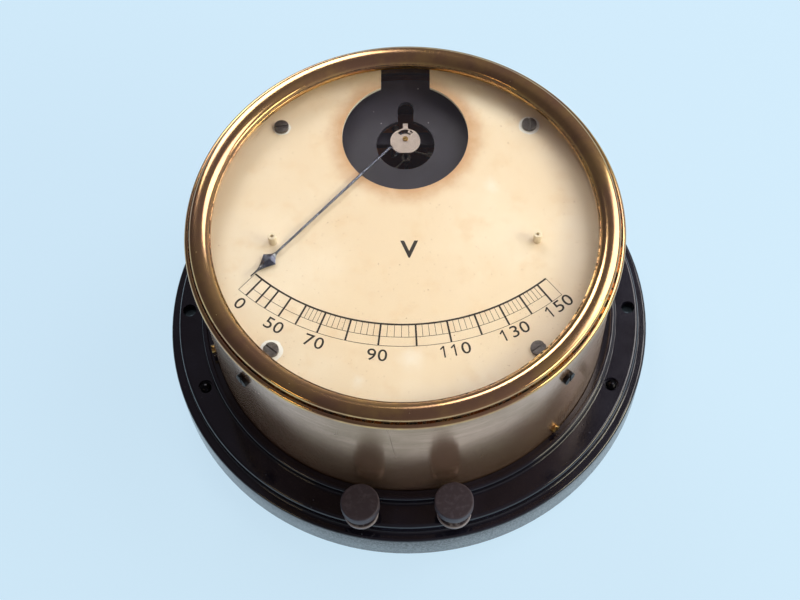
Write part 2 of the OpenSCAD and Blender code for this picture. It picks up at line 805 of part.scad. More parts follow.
module pointer_hub() color([0.68, 0.53, 0.26]) {
  on_axis(hub_z) ring(hub_r, spindle_r + slip_gap, hub_h, $fn = 48);
}

// The arrow's outline, with hollow sides from the neck to the barbs and on to the tip
arrow_neck = tip_r - arrow_l;
arrow_barb = tip_r - barb_back;
function hollow(a, b, bow, n = 6) = [for (i = [0:n]) let (t = i / n)
  [a[0] + (b[0] - a[0]) * t, a[1] + (b[1] - a[1]) * pow(t, bow)]];
arrow_side = concat(
  hollow([arrow_neck, needle_w / 2], [arrow_barb, barb_w], 2.2),
  [for (i = [1:6]) let (t = i / 6) [arrow_barb + (tip_r - arrow_barb) * t,
    needle_w * 0.2 + (barb_w - needle_w * 0.2) * pow(1 - t, 1.5)]],
  [[tip_r + spike_l, needle_w * 0.15]]
);

module pointer() color([0.2, 0.2, 0.24]) {
  other_side = [for (i = [len(arrow_side) - 1:-1:0]) [arrow_side[i][0], -arrow_side[i][1]]];
  on_axis() rotate([0, 0, rest_a - 90]) {
    translate([hub_r + slip_gap, -arm_w / 2, arm_z]) cube([riser_r + arm_t / 2 - hub_r - slip_gap, arm_w, arm_t]);
    translate([riser_r - arm_t / 2, -arm_w / 2, arm_z]) cube([arm_t, arm_w, needle_z + needle_t - arm_z]);
    translate([riser_r - arm_t / 2, -needle_w / 2, needle_z])
      cube([arrow_neck - riser_r + arm_t / 2 + 0.2, needle_w, needle_t]);
    translate([0, 0, needle_z]) linear_extrude(height = needle_t) polygon(concat(arrow_side, other_side));
  }
}

module balance_arms() color([0.6, 0.61, 0.63]) {
  on_axis(balance_z) {
    difference() {
      union() {
        cylinder(r = 2.2, h = balance_h, $fn = 48);
        for (s = [-1, 1]) rotate([0, 0, rest_a - 90 + s * balance_a])
          translate([0, 0, balance_h / 2]) rotate([0, 90, 0]) cylinder(r = wire_r, h = balance_l, $fn = 24);
      }
      translate([0, 0, -eps]) cylinder(r = spindle_r + slip_gap, h = balance_h + 2 * eps, $fn = 48);
    }
  }
}

module balance_weights() color([0.68, 0.53, 0.26]) {
  on_axis(balance_z + balance_h / 2) for (s = [-1, 1]) rotate([0, 0, rest_a - 90 + s * balance_a])
    translate([balance_p, 0, 0]) rotate([0, 90, 0]) ring(weight_r, wire_r + slip_gap, weight_l, $fn = 48);
}

module spring_collet() color([0.68, 0.53, 0.26]) {
  on_axis(collet_z) ring(collet_r, spindle_r + slip_gap, collet_h, $fn = 48);
}

// A flat spiral from the collet out to the stud of the zero lever
spring_steps = 28;
spring_n = spring_turns * spring_steps;
function spring_r(i) = spring_r0 + (spring_r1 - spring_r0) * i / spring_n;
function spring_side(o) = [for (i = [0:spring_n]) let (a = lever_a + (i - spring_n) * 360 / spring_steps)
  [(spring_r(i) + o) * cos(a), (spring_r(i) + o) * sin(a)]];
spring_gap = spring_r(spring_steps) - spring_r(0) - spring_t;
echo(str("hairspring least gap between turns: ", spring_gap, " mm"));

module hairspring() color([0.3, 0.33, 0.45]) {
  inner = spring_side(-spring_t / 2);
  outer = spring_side(spring_t / 2);
  back = [for (i = [len(inner) - 1:-1:0]) inner[i]];
  on_axis(spring_z) linear_extrude(height = spring_h) polygon(concat(outer, back));
}

module zero_lever() color([0.78, 0.75, 0.68]) {
  on_axis(lever_z) {
    ring(boss_r + 1.2, boss_r + run_gap, lever_t, $fn = 64);
    rotate([0, 0, lever_a]) {
      translate([boss_r + 0.6, -0.7, 0]) cube([lever_stud_p - boss_r, 1.4, lever_t]);
      translate([lever_pin_p, 0, 0]) cylinder(r = lever_pin_r, h = bearing_top - lever_z + 0.4, $fn = 32);
      translate([lever_stud_p, 0, spring_z - lever_z])
        cylinder(r = lever_stud_r, h = lever_z - spring_z + lever_t, $fn = 24);
    }
  }
}

module upper_crossbar() color([0.13, 0.13, 0.15]) {
  difference() {
    translate([-bar_x, bar_y - bar_w / 2, bar_z]) cube([2 * bar_x, bar_w, bar_t]);
    for (s = [-1, 1]) translate([s * bar_post_x, bar_y, bar_z - eps])
      cylinder(r = m3_tap, h = bar_t + 2 * eps);
    translate([0, axis_y + foot_screw_y, bar_z - eps])
      cylinder(r = foot_screw_r + thread_gap, h = bar_t + 2 * eps, $fn = 32);
  }
}

module crossbar_posts() color([0.7, 0.58, 0.32]) {
  for (s = [-1, 1]) translate([s * bar_post_x, bar_y, bar_top]) ring(bar_post_r, m3_hole, move_z - bar_top);
}

module crossbar_screws() color([0.35, 0.33, 0.3]) {
  for (s = [-1, 1]) translate([s * bar_post_x, bar_y, move_top])
    screw(m3_head_r, m3_head_h, m3_r, move_top - bar_z - free_gap);
}

module bearing_plate() color([0.74, 0.71, 0.67]) {
  on_axis() difference() {
    union() {
      intersection() {
        translate([0, -bearing_shift, bearing_z]) cylinder(r = bearing_r, h = bearing_t);
        translate([-bearing_r, -bearing_shift - bearing_flat, bearing_z])
          cube([2 * bearing_r, 3 * bearing_r, bearing_t]);
      }
      translate([0, 0, boss_z]) cylinder(r = boss_r, h = boss_h + 0.1);
      translate([-leg_w / 2, kidney_out, bearing_z]) cube([leg_w, leg_y + leg_t - kidney_out, bearing_t]);
      translate([-leg_w / 2, leg_y, bar_top]) cube([leg_w, leg_t, bearing_z - bar_top + bearing_t / 2]);
      translate([-leg_w / 2, leg_y, bar_top]) cube([leg_w, foot_l, foot_t]);
    }
    translate([0, 0, boss_z - eps]) cylinder(r = top_screw_r + thread_gap, h = boss_h + bearing_t + 2 * eps, $fn = 48);
    translate([0, 0, bearing_z - 0.05])
      sector(kidney_out, kidney_in, bearing_t + eps, kidney_a0, kidney_a1);
    translate([0, foot_screw_y, bar_top - eps])
      cylinder(r = foot_screw_r + 0.1, h = foot_t + 2 * eps, $fn = 32);
  }
}

module bearing_plate_screw() color([0.68, 0.53, 0.26]) {
  translate([0, axis_y + foot_screw_y, bar_top + foot_t])
    screw(foot_screw_head_r, foot_screw_head_h, foot_screw_r, foot_t + bar_t - free_gap, 0.4);
}

module upper_bearing_screw() color([0.76, 0.6, 0.28]) {
  l = bearing_top + 0.5 - top_screw_z;
  on_axis(top_screw_z) difference() {
    cylinder(r = top_screw_r, h = l, $fn = 48);
    translate([0, 0, -eps]) cylinder(r = pivot_r + run_gap, h = top_jewel + eps, $fn = 48);
    rotate([0, 0, 30]) translate([-2, -0.2, l - 0.4]) cube([4, 0.4, 1]);
  }
}

module lower_bearing_screw() color([0.76, 0.6, 0.28]) {
  z0 = bridge_z - 4;
  on_axis() difference() {
    translate([0, 0, z0]) cylinder(r = stud_r, h = jewel_top - z0);
    translate([0, 0, jewel_top - jewel_depth]) cylinder(r = pivot_r + run_gap, h = jewel_depth + eps, $fn = 48);
    translate([-stud_r - eps, -0.5, z0 - eps]) cube([2 * (stud_r + eps), 1, 1 + eps]);
  }
}

module bearing_locknut() color([0.68, 0.53, 0.26]) {
  on_axis(bridge_z - 2.8) nut(2 * stud_r + 4, stud_r + thread_gap, 2.8);
}

module damping_vane() color([0.72, 0.73, 0.75]) {
  on_axis(vane_z) rotate([0, 0, rest_a - 90]) {
    difference() {
      union() {
        translate([0, 0, -1]) cylinder(r = vane_hub_r, h = 2, $fn = 48);
        rotate([0, 90, 0]) cylinder(r = wire_r, h = vane_in + 0.5, $fn = 24);
      }
      translate([0, 0, -1 - eps]) cylinder(r = spindle_r + slip_gap, h = 2 + 2 * eps, $fn = 48);
    }
    translate([vane_in, -vane_t / 2, -vane_h / 2]) cube([vane_out - vane_in, vane_t, vane_h]);
  }
}

module damping_chamber() color([0.66, 0.54, 0.3]) {
  lower_h = vane_z - box_slot / 2 - box_z;
  half_t = box_t / 2;
  on_axis(box_z) {
    rotate([0, 0, -90 - box_a]) rotate_extrude(angle = 2 * box_a) polygon([
      [box_in, 0], [box_out, 0], [box_out, box_h], [box_out - box_t, box_h],
      [box_out - box_t, box_t], [box_in + box_t, box_t], [box_in + box_t, lower_h], [box_in, lower_h]
    ]);
    for (a = [-90 - box_a + wall_in, box_a - 90 - wall_in - wall_a]) translate([0, 0, half_t])
      sector(box_out - half_t, box_in + half_t, box_h - half_t, a, a + wall_a);
  }
}

module damping_lid() color([0.66, 0.54, 0.3]) {
  inset_a = wall_in + wall_a + 0.6;
  upper_z = vane_z + box_slot / 2;
  on_axis() {
    translate([0, 0, box_z + box_h]) sector(box_out, box_in, box_t, -90 - box_a, box_a - 90);
    translate([0, 0, upper_z]) sector(box_in + box_t, box_in + lid_step, box_z + box_h - upper_z + 0.1,
      -90 - box_a + inset_a, box_a - 90 - inset_a);
  }
}

module resistor_spools() color([0.75, 0.72, 0.66]) {
  for (s = [-1, 1]) translate([s * spool_x, spool_y, flange_h]) difference() {
    union() {
      cylinder(r = spool_core, h = spool_h);
      cylinder(r = spool_r, h = spool_cheek);
      translate([0, 0, spool_h - spool_cheek]) cylinder(r = spool_r, h = spool_cheek);
    }
    translate([0, 0, -eps]) cylinder(r = rod_r + hole_gap, h = spool_h + 2 * eps);
  }
}

module resistor_windings() color([0.25, 0.32, 0.2]) {
  for (s = [-1, 1]) translate([s * spool_x, spool_y, flange_h + spool_cheek + 0.1])
    ring(spool_r - 2, spool_core + 0.2, spool_h - 2 * spool_cheek - 0.2);
}

module resistor_rods() color([0.35, 0.33, 0.3]) {
  for (s = [-1, 1]) translate([s * spool_x, spool_y, 0]) {
    translate([0, 0, floor_z - 3]) cylinder(r = 3.6, h = 3);
    translate([0, 0, floor_z - 1]) cylinder(r = rod_r, h = rod_top - floor_z + 1);
  }
}

module resistor_nuts() color([0.68, 0.53, 0.26]) {
  for (s = [-1, 1]) translate([s * spool_x, spool_y, flange_h + spool_h]) nut(7, rod_r + thread_gap, nut_h);
}

module terminal_bushes() color([0.08, 0.07, 0.08]) {
  for (s = [-1, 1]) polar(s * term_a, term_p) difference() {
    union() {
      translate([0, 0, flange_h]) cylinder(r = bush_r, h = bush_h);
      translate([0, 0, floor_z]) cylinder(r = sleeve_r, h = floor_t + 0.1);
    }
    translate([0, 0, floor_z - eps]) cylinder(r = stud_r + thread_gap, h = floor_t + bush_h + 2 * eps);
  }
}

module inner_bushes() color([0.08, 0.07, 0.08]) {
  for (s = [-1, 1]) polar(s * term_a, term_p)
    translate([0, 0, floor_z - inner_bush_h]) ring(inner_bush_r, stud_r + thread_gap, inner_bush_h);
}

module terminal_studs() color([0.75, 0.72, 0.66]) {
  for (s = [-1, 1]) polar(s * term_a, term_p) {
    translate([0, 0, stud_z]) cylinder(r = stud_r, h = stud_top - stud_z);
    translate([0, 0, face_z]) cylinder(r = face_r, h = face_h);
  }
}

module stud_washers() color([0.75, 0.72, 0.66]) {
  for (s = [-1, 1]) polar(s * term_a, term_p) {
    translate([0, 0, floor_z - inner_bush_h - inner_washer_h]) ring(inner_washer_r, stud_r + thread_gap, inner_washer_h);
    translate([0, 0, lead_z - lug_h / 2]) ring(lug_r, stud_r + thread_gap, lug_h);
  }
}

module stud_nuts() color([0.68, 0.53, 0.26]) {
  for (s = [-1, 1]) polar(s * term_a, term_p)
    translate([0, 0, lead_z + lug_h / 2]) nut(stud_nut_af, stud_r + thread_gap, stud_nut_h);
}

module clamp_washer(side, lift) {
  polar(side * term_a, term_p) translate([0, 0, washer_z + lift]) ring(washer_r, stud_r + run_gap, washer_h);
}

knob_outline = concat(
  [[0, knob_h - knob_roof], [stud_r + run_gap, knob_h - knob_roof], [stud_r + run_gap, 0]],
  [[knob_neck_r, 0], [knob_neck_r, knob_neck_h]],
  arc(knob_r - knob_under_r, knob_neck_h + knob_under_r, knob_under_r, 270, 360, 4),
  arc(knob_r - knob_edge_r, knob_h - knob_edge_r, knob_edge_r, 0, 90, 4),
  [[0, knob_h]]
);

module knob(side, lift) {
  polar(side * term_a, term_p) translate([0, 0, knob_z + lift]) rotate_extrude() polygon(knob_outline);
}

module left_clamp_washer() color([0.75, 0.72, 0.66]) clamp_washer(-1, 0);

module right_clamp_washer() color([0.75, 0.72, 0.66]) clamp_washer(1, right_lift);

module left_knob() color([0.2, 0.17, 0.18]) knob(-1, 0);

module right_knob() color([0.2, 0.17, 0.18]) knob(1, right_lift);

module lead_wires() color([0.45, 0.12, 0.1]) {
  tx = term_p * sin(term_a);
  ty = -term_p * cos(term_a);
  winding_r = spool_r - 2 + lead_r + 0.15;
  coil_out = coil_r - 1.5 + lead_r + 0.15;
  coil_dir = 250;
  for (s = [-1, 1]) {
    wire_run([
      [s * tx, ty + lug_r + lead_r + 0.1, lead_z],
      [s * lead_hole[0], lead_hole[1] - 8, lead_z],
      [s * lead_hole[0], lead_hole[1], lead_z + 6],
      [s * lead_hole[0], lead_hole[1], lead_top - 8],
      [s * spool_x, spool_y - winding_r, lead_top]
    ], lead_r);
    wire_run([
      [s * spool_x, spool_y + winding_r, lead_top],
      [s * (spool_x - 18), spool_y + winding_r + 12, lead_top],
      [-s * coil_out * cos(coil_dir), axis_y + coil_out * sin(coil_dir), lead_top - 10]
    ], lead_r);
  }
}

base_casting();
back_plate();
cover_screws();
case_drum();
drum_foot_screws();
bezel();
bezel_screws();
cover_glass();
glass_gasket();
glass_retainer();
dial_plate();
scale_marks();
dial_screws();
dial_spacers();
stop_pins();
movement_plate();
case_pillars();
pillar_screws();
frame_posts();
frame_screws();
lower_bridge();
coil_bobbin();
coil_winding();
coil_screws();
fixed_iron();
spindle();
moving_iron();
pointer_hub();
pointer();
balance_arms();
balance_weights();
spring_collet();
hairspring();
zero_lever();
upper_crossbar();
crossbar_posts();
crossbar_screws();
bearing_plate();
bearing_plate_screw();
upper_bearing_screw();
lower_bearing_screw();
bearing_locknut();
damping_vane();
damping_chamber();
damping_lid();
resistor_spools();
resistor_windings();
resistor_rods();
resistor_nuts();
terminal_bushes();
inner_bushes();
terminal_studs();
stud_washers();
stud_nuts();
left_clamp_washer();
right_clamp_washer();
left_knob();
right_knob();
lead_wires();
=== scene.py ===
"""Panel voltmeter: a brass bezel over a cream dial, a plated drum and a black flanged base."""
import json
import logging
import math
from dataclasses import dataclass, field
from enum import Enum
from typing import Sequence, Union

import bmesh
import bpy
from mathutils import Matrix, Vector

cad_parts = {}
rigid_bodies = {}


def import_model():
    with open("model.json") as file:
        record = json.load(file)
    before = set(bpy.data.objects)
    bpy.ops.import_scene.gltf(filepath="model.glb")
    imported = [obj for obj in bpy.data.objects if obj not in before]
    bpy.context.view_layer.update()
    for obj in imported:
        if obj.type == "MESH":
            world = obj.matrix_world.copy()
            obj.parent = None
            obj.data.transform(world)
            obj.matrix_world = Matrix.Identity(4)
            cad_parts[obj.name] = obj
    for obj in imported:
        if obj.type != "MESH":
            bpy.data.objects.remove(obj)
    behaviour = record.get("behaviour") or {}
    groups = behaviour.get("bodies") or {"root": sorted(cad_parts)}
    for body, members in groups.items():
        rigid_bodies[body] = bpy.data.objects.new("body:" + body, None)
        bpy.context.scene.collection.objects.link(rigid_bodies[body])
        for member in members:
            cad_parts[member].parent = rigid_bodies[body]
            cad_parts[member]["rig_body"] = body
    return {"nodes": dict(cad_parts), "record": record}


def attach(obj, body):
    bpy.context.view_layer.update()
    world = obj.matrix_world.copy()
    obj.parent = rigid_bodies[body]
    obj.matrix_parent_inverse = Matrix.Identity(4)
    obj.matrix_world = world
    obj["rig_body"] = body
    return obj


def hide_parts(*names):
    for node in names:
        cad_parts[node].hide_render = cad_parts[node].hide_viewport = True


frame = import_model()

Triple = tuple[float, float, float]
Colour = Triple
Socket = bpy.types.NodeSocket
Tint = Union[Socket, Colour]
Level = Union[float, Socket]
Point = tuple[float, float]

MM = 0.001
# Points nearer than this many metres are one point, in a new mesh and in an imported one.
MERGE = 1e-7
PACKED_MERGE = 2e-6
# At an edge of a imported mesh, fewer degrees than FLAT make one face, more than CORNER are eased.
FLAT = 0.6
CORNER = 35.0
# An edge that bends less than this many degrees lies between flat faces.
FLUSH = 0.3
# Straights longer than this many millimetres get holding points, this far from their ends.
LONG_STRAIGHT = 1.4
HOLD = 0.3
# Thickness of the printed signs in millimetres.
PRINT = 0.05
# The middle of a noise's range, over which a finish changes.
NARROW = (0.35, 0.65)
WIDE = (0.3, 0.7)
# Sockets of a colour Mix node: its two colours and its result.
MIX_COLOURS = (6, 7)
MIX_RESULT = 2
# A distance in millimetres past everything.
FAR = 1000.0
# Width of the camera's sensor in millimetres.
SENSOR = 36.0
LOG = logging.getLogger("voltmeter")


class Edge(Enum):
    """How far the corners of a small metal piece are eased, in millimetres."""

    CRISP = 0.06
    EASED = 0.14
    ROUNDED = 0.3


def srgb(*levels: float) -> Colour:
    """Turns a screen colour into a linear one.

    Args:
        *levels: Red, green and blue, 0 to 255.

    Returns:
        The linear colour.
    """
    def line(v: float) -> float:
        """Returns one linear channel."""
        v /= 255.0
        return v / 12.92 if v <= 0.04045 else ((v + 0.055) / 1.055) ** 2.4
    return tuple(line(v) for v in levels)


def shown(name: str, data: bpy.types.ID) -> bpy.types.Object:
    """Puts new data into the scene as an object."""
    made = bpy.data.objects.new(name, data)
    bpy.context.scene.collection.objects.link(made)
    return made


class Shade:
    """A node tree under construction for one material."""

    def __init__(self, name: str) -> None:
        """Starts a material with an empty Principled surface.

        Args:
            name: The material's name.
        """
        self.material = bpy.data.materials.new(name)
        self.material.use_nodes = True
        self.tree = self.material.node_tree
        self.surface = self.tree.nodes["Principled BSDF"]
        self.output = self.tree.nodes["Material Output"]
        self.coords = self.tree.nodes.new("ShaderNodeTexCoord").outputs["Object"]

    def node(self, kind: str, **values: object) -> bpy.types.Node:
        """Adds a node and sets its properties.

        Args:
            kind: The node's type name.
            **values: Properties of the node.

        Returns:
            The new node.
        """
        made = self.tree.nodes.new(kind)
        for key, value in values.items():
            setattr(made, key, value)
        return made

    def feed(self, target: Socket, value: Level) -> None:
        """Links a socket or sets its plain value."""
        if isinstance(value, bpy.types.NodeSocket):
            self.tree.links.new(value, target)
        else:
            target.default_value = value

    def set(self, **levels: Union[Level, Colour]) -> None:
        """Sets inputs of the surface by name, with underscores for spaces."""
        for key, value in levels.items():
            target = self.surface.inputs[key.replace("_", " ")]
            if isinstance(value, tuple):
                value = (*value, 1.0)
            self.feed(target, value)

    def place(self, stretch: Sequence[float], turn: Sequence[float] = (0, 0, 0)) -> Socket:
        """Returns object coordinates, turned and stretched."""
        spot = self.node("ShaderNodeMapping")
        self.feed(spot.inputs["Vector"], self.coords)
        spot.inputs["Rotation"].default_value = turn
        spot.inputs["Scale"].default_value = stretch
        return spot.outputs["Vector"]

    def noise(self, scale: float, detail: float = 3.0, rough: float = 0.55,
              where: Union[Socket, None] = None) -> Socket:
        """Returns a cloud pattern.

        Args:
            scale: Features for each metre.
            detail: Octaves.
            rough: How strong the small octaves are.
            where: Coordinates, or None for plain object coordinates.

        Returns:
            A value from 0 to 1.
        """
        made = self.node("ShaderNodeTexNoise")
        self.feed(made.inputs["Vector"], where or self.coords)
        made.inputs["Scale"].default_value = scale
        made.inputs["Detail"].default_value = detail
        made.inputs["Roughness"].default_value = rough
        return made.outputs["Fac"]

    def specks(self, scale: float, size: Point, clouds: float, gate: Point, detail: float = 2.0,
               share: float = 1.0) -> Socket:
        """Returns scattered specks that come only where a cloud pattern is strong.

        Args:
            scale: Specks for each metre.
            size: Where a speck begins to fade and where it ends, in parts of its cell.
            clouds: Clouds for each metre.
            gate: The cloud levels where specks begin and where they are full.
            detail: Octaves of the clouds.
            share: How strong a speck is.

        Returns:
            A value from 0 to share.
        """
        dots = self.node("ShaderNodeTexVoronoi")
        self.feed(dots.inputs["Vector"], self.coords)
        dots.inputs["Scale"].default_value = scale
        near = self.fade(dots.outputs["Distance"], *size, share, 0.0)
        return self.calc("MULTIPLY", near, self.fade(self.noise(clouds, detail), *gate))

    def calc(self, kind: str, first: Level, second: Level = 0.0) -> Socket:
        """Returns the result of a Math node."""
        made = self.node("ShaderNodeMath", operation=kind)
        self.feed(made.inputs[0], first)
        self.feed(made.inputs[1], second)
        return made.outputs[0]

    def mean(self, first: Socket, second: Socket, share: float) -> Socket:
        """Returns a weighted mean of two patterns, with this share of the first."""
        return self.calc("ADD", self.calc("MULTIPLY", first, share),
                         self.calc("MULTIPLY", second, 1 - share))

    def ragged(self, away: Socket, reach: float, scale: float, detail: float,
               rough: float) -> Socket:
        """Returns a distance made ragged by a cloud pattern.

        Args:
            away: The distance.
            reach: The most that is added, in its own unit.
            scale: Features for each metre.
            detail: Octaves.
            rough: How strong the small octaves are.

        Returns:
            The ragged distance.
        """
        cloud = self.noise(scale, detail, rough)
        return self.calc("ADD", away, self.calc("MULTIPLY", cloud, reach))

    def fade(self, value: Socket, low: float, high: float, start: float = 0.0,
             end: float = 1.0) -> Socket:
        """Returns value carried from low..high to start..end, smoothly and clamped."""
        made = self.node("ShaderNodeMapRange", interpolation_type="SMOOTHSTEP")
        for name, level in (("Value", value), ("From Min", low), ("From Max", high),
                            ("To Min", start), ("To Max", end)):
            self.feed(made.inputs[name], level)
        return made.outputs["Result"]

    def blend(self, share: Level, first: Tint, second: Tint) -> Socket:
        """Returns a mix of two colours."""
        made = self.node("ShaderNodeMix", data_type="RGBA")
        self.feed(made.inputs[0], share)
        for slot, colour in zip(MIX_COLOURS, (first, second)):
            self.feed(made.inputs[slot], (*colour, 1.0) if isinstance(colour, tuple) else colour)
        return made.outputs[MIX_RESULT]

    def radius(self, x: float = 0.0, y: float = 0.0) -> Socket:
        """Returns the distance in millimetres from an upright line through x, y in millimetres."""
        move = self.node("ShaderNodeVectorMath", operation="SUBTRACT")
        self.feed(move.inputs[0], self.coords)
        move.inputs[1].default_value = (x * MM, y * MM, 0)
        flat = self.node("ShaderNodeVectorMath", operation="MULTIPLY")
        self.feed(flat.inputs[0], move.outputs[0])
        flat.inputs[1].default_value = (1 / MM, 1 / MM, 0)
        size = self.node("ShaderNodeVectorMath", operation="LENGTH")
        self.feed(size.inputs[0], flat.outputs[0])
        return size.outputs["Value"]

    def height(self) -> Socket:
        """Returns the height in millimetres above the back face."""
        split = self.node("ShaderNodeSeparateXYZ")
        self.feed(split.inputs[0], self.coords)
        return self.calc("MULTIPLY", split.outputs["Z"], 1 / MM)

    def facing_up(self) -> Socket:
        """Returns how far the surface looks up, from -1 to 1."""
        split = self.node("ShaderNodeSeparateXYZ")
        self.feed(split.inputs[0], self.node("ShaderNodeNewGeometry").outputs["Normal"])
        return split.outputs["Z"]

    def over(self, share: Level, other: Socket) -> None:
        """Mixes another shader over the surface by a share from 0 to 1."""
        mixed = self.node("ShaderNodeMixShader")
        for target, value in zip(mixed.inputs, (share, self.surface.outputs[0], other)):
            self.feed(target, value)
        self.feed(self.output.inputs["Surface"], mixed.outputs[0])

    def bump(self, height: Socket, depth: float, strength: float) -> None:
        """Raises the surface by a pattern.

        Args:
            height: The pattern.
            depth: The relief in millimetres.
            strength: The share of it that shows.
        """
        made = self.node("ShaderNodeBump")
        made.inputs["Strength"].default_value = strength
        made.inputs["Distance"].default_value = depth * MM
        self.feed(made.inputs["Height"], height)
        self.feed(self.surface.inputs["Normal"], made.outputs["Normal"])


@dataclass(frozen=True)
class Finish:
    """A named finish that can make its material."""

    name: str

    def material(self) -> bpy.types.Material:
        """Returns the finish's material."""
        made = Shade(self.name)
        self.wire_up(made)
        return made.material

    def wire_up(self, made: Shade) -> None:
        """Adds the finish's nodes to a new material."""
        raise NotImplementedError


@dataclass(frozen=True)
class Metal(Finish):
    """Bare or plated metal with blotches, fine grain and uneven gloss."""

    bright: Colour
    dull: Colour
    smooth: float = 0.22
    rough: float = 0.42
    blotch: float = 70.0
    grain: float = 1500.0
    relief: float = 0.012
    share: float = 0.65
    change: Point = (0.38, 0.62)

    def wire_up(self, made: Shade) -> None:
        """Adds the metal's nodes."""
        grain = made.noise(self.grain, 2, 0.5)
        tone = made.mean(made.noise(self.blotch, 4, 0.6), grain, self.share)
        made.set(Base_Color=made.blend(made.fade(tone, *self.change), self.dull, self.bright),
                 Roughness=made.fade(tone, *NARROW, self.rough, self.smooth))
        made.set(Metallic=1.0)
        made.bump(grain, self.relief, 0.5)


@dataclass(frozen=True)
class Paint(Finish):
    """Paint, lacquer or moulded material with orange peel and scattered specks."""

    colour: Colour
    second: Colour
    speck: Colour
    gloss: float = 0.35
    specks: float = 0.02
    peel: float = 700.0
    relief: float = 0.02
    clouds: float = 45.0
    spacing: float = 160.0
    spread: float = 2.2

    def wire_up(self, made: Shade) -> None:
        """Adds the paint's nodes."""
        cloud = made.noise(self.clouds, 4, 0.6)
        peel = made.noise(self.peel, 3, 0.5)
        ground = made.blend(made.fade(cloud, 0.35, 0.68), self.colour, self.second)
        size = (self.specks, self.specks * self.spread)
        specks = made.specks(self.spacing, size, 55, (0.52, 0.6))
        made.set(Base_Color=made.blend(specks, ground, self.speck),
                 Roughness=made.fade(peel, *WIDE, self.gloss * 0.85, min(1.0, self.gloss * 1.2)))
        made.bump(peel, self.relief, 0.6)


@dataclass(frozen=True)
class Brass(Finish):
    """The bezel's polished brass, browned by age, black in its groove, with a painted shadow line
    at the lip.
    """

    bright: Colour
    brown: Colour
    tarnish_and_shadow: Colour
    dark_rings: tuple[Point, ...]
    gloss: Point = (0.17, 0.12)
    clouds: float = 38.0
    streaks: float = 210.0
    share: float = 0.8
    lumps: float = 300.0
    spots: float = 420.0

    def wire_up(self, made: Shade) -> None:
        """Adds the bezel's nodes."""
        away = made.radius()
        cloud, streak = made.noise(self.clouds, 5, 0.62), made.noise(self.streaks, 3, 0.6)
        tone = made.mean(cloud, streak, self.share)
        metal = made.blend(made.fade(tone, 0.36, 0.66), self.brown, self.bright)
        lumps = made.fade(made.noise(self.lumps, 4, 0.7), 0.47, 0.56)
        tarnish_and_shadow_mask: Level = 0.0
        # Dark rings round the axis: tarnish in the groove, and at the lip a painted shadow line.
        for centre, half in self.dark_rings:
            off = made.calc("ABSOLUTE", made.calc("SUBTRACT", away, centre))
            tarnish_and_shadow_mask = made.calc("MAXIMUM", made.fade(off, half * 0.4, half, 1.0, 0.0), tarnish_and_shadow_mask)
        tarnish_and_shadow_mask = made.calc("MULTIPLY", tarnish_and_shadow_mask, lumps)
        spots = made.specks(self.spots, (0.05, 0.16), 90, (0.58, 0.66))
        tarnish_and_shadow_mask = made.calc("MAXIMUM", tarnish_and_shadow_mask, made.calc("MULTIPLY", spots, 0.8))
        made.set(Base_Color=made.blend(tarnish_and_shadow_mask, metal, self.tarnish_and_shadow),
                 Metallic=made.fade(tarnish_and_shadow_mask, 0.0, 1.0, 1.0, 0.35),
                 Roughness=made.calc("ADD", made.fade(tone, *NARROW, *self.gloss),
                                     made.calc("MULTIPLY", tarnish_and_shadow_mask, 0.4)))
        made.bump(tarnish_and_shadow_mask, 0.03, 0.4)


@dataclass(frozen=True)
class PlatedDrum(Finish):
    """The drum's worn plate: drawn lines round it, specks under the bezel and a few scratches."""

    plate: Colour
    worn: Colour
    speck: Colour
    top: float
    gloss: Point = (0.26, 0.17)
    clouds: float = 24.0
    lines: float = 26.0
    flatten: float = 22.0
    share: float = 0.7
    specked: Point = (42.0, 4.0)
    specks: float = 230.0
    scratches: float = 32.0
    stretch: float = 0.12
    lean: Triple = (0.5, 0.3, 0.2)

    def wire_up(self, made: Shade) -> None:
        """Adds the drum's nodes."""
        drawn = made.noise(self.lines, 3, 0.6, made.place((1.0, 1.0, self.flatten)))
        tone = made.mean(made.noise(self.clouds, 5, 0.6), drawn, self.share)
        metal = made.blend(made.fade(tone, 0.38, 0.62), self.worn, self.plate)
        low, high = (self.top - drop for drop in self.specked)
        specks = made.calc("MULTIPLY", made.specks(self.specks, (0.05, 0.13), 60, (0.52, 0.58)),
                           made.fade(made.height(), low, high))
        lines = made.noise(self.scratches, 2, 0.5, made.place((1.0, 1.0, self.stretch), self.lean))
        thin = made.fade(made.calc("ABSOLUTE", made.calc("SUBTRACT", lines, 0.5)),
                         0.0012, 0.003, 1.0, 0.0)
        scratch = made.calc("MULTIPLY", thin, made.fade(made.noise(17, 2), 0.56, 0.62))
        marks = made.calc("MAXIMUM", specks, made.calc("MULTIPLY", scratch, 0.7))
        made.set(Base_Color=made.blend(marks, metal, self.speck),
                 Roughness=made.calc("ADD", made.fade(tone, *NARROW, *self.gloss),
                                     made.calc("MULTIPLY", marks, 0.3)))
        made.set(Metallic=0.8)
        made.bump(marks, -0.01, 0.3)


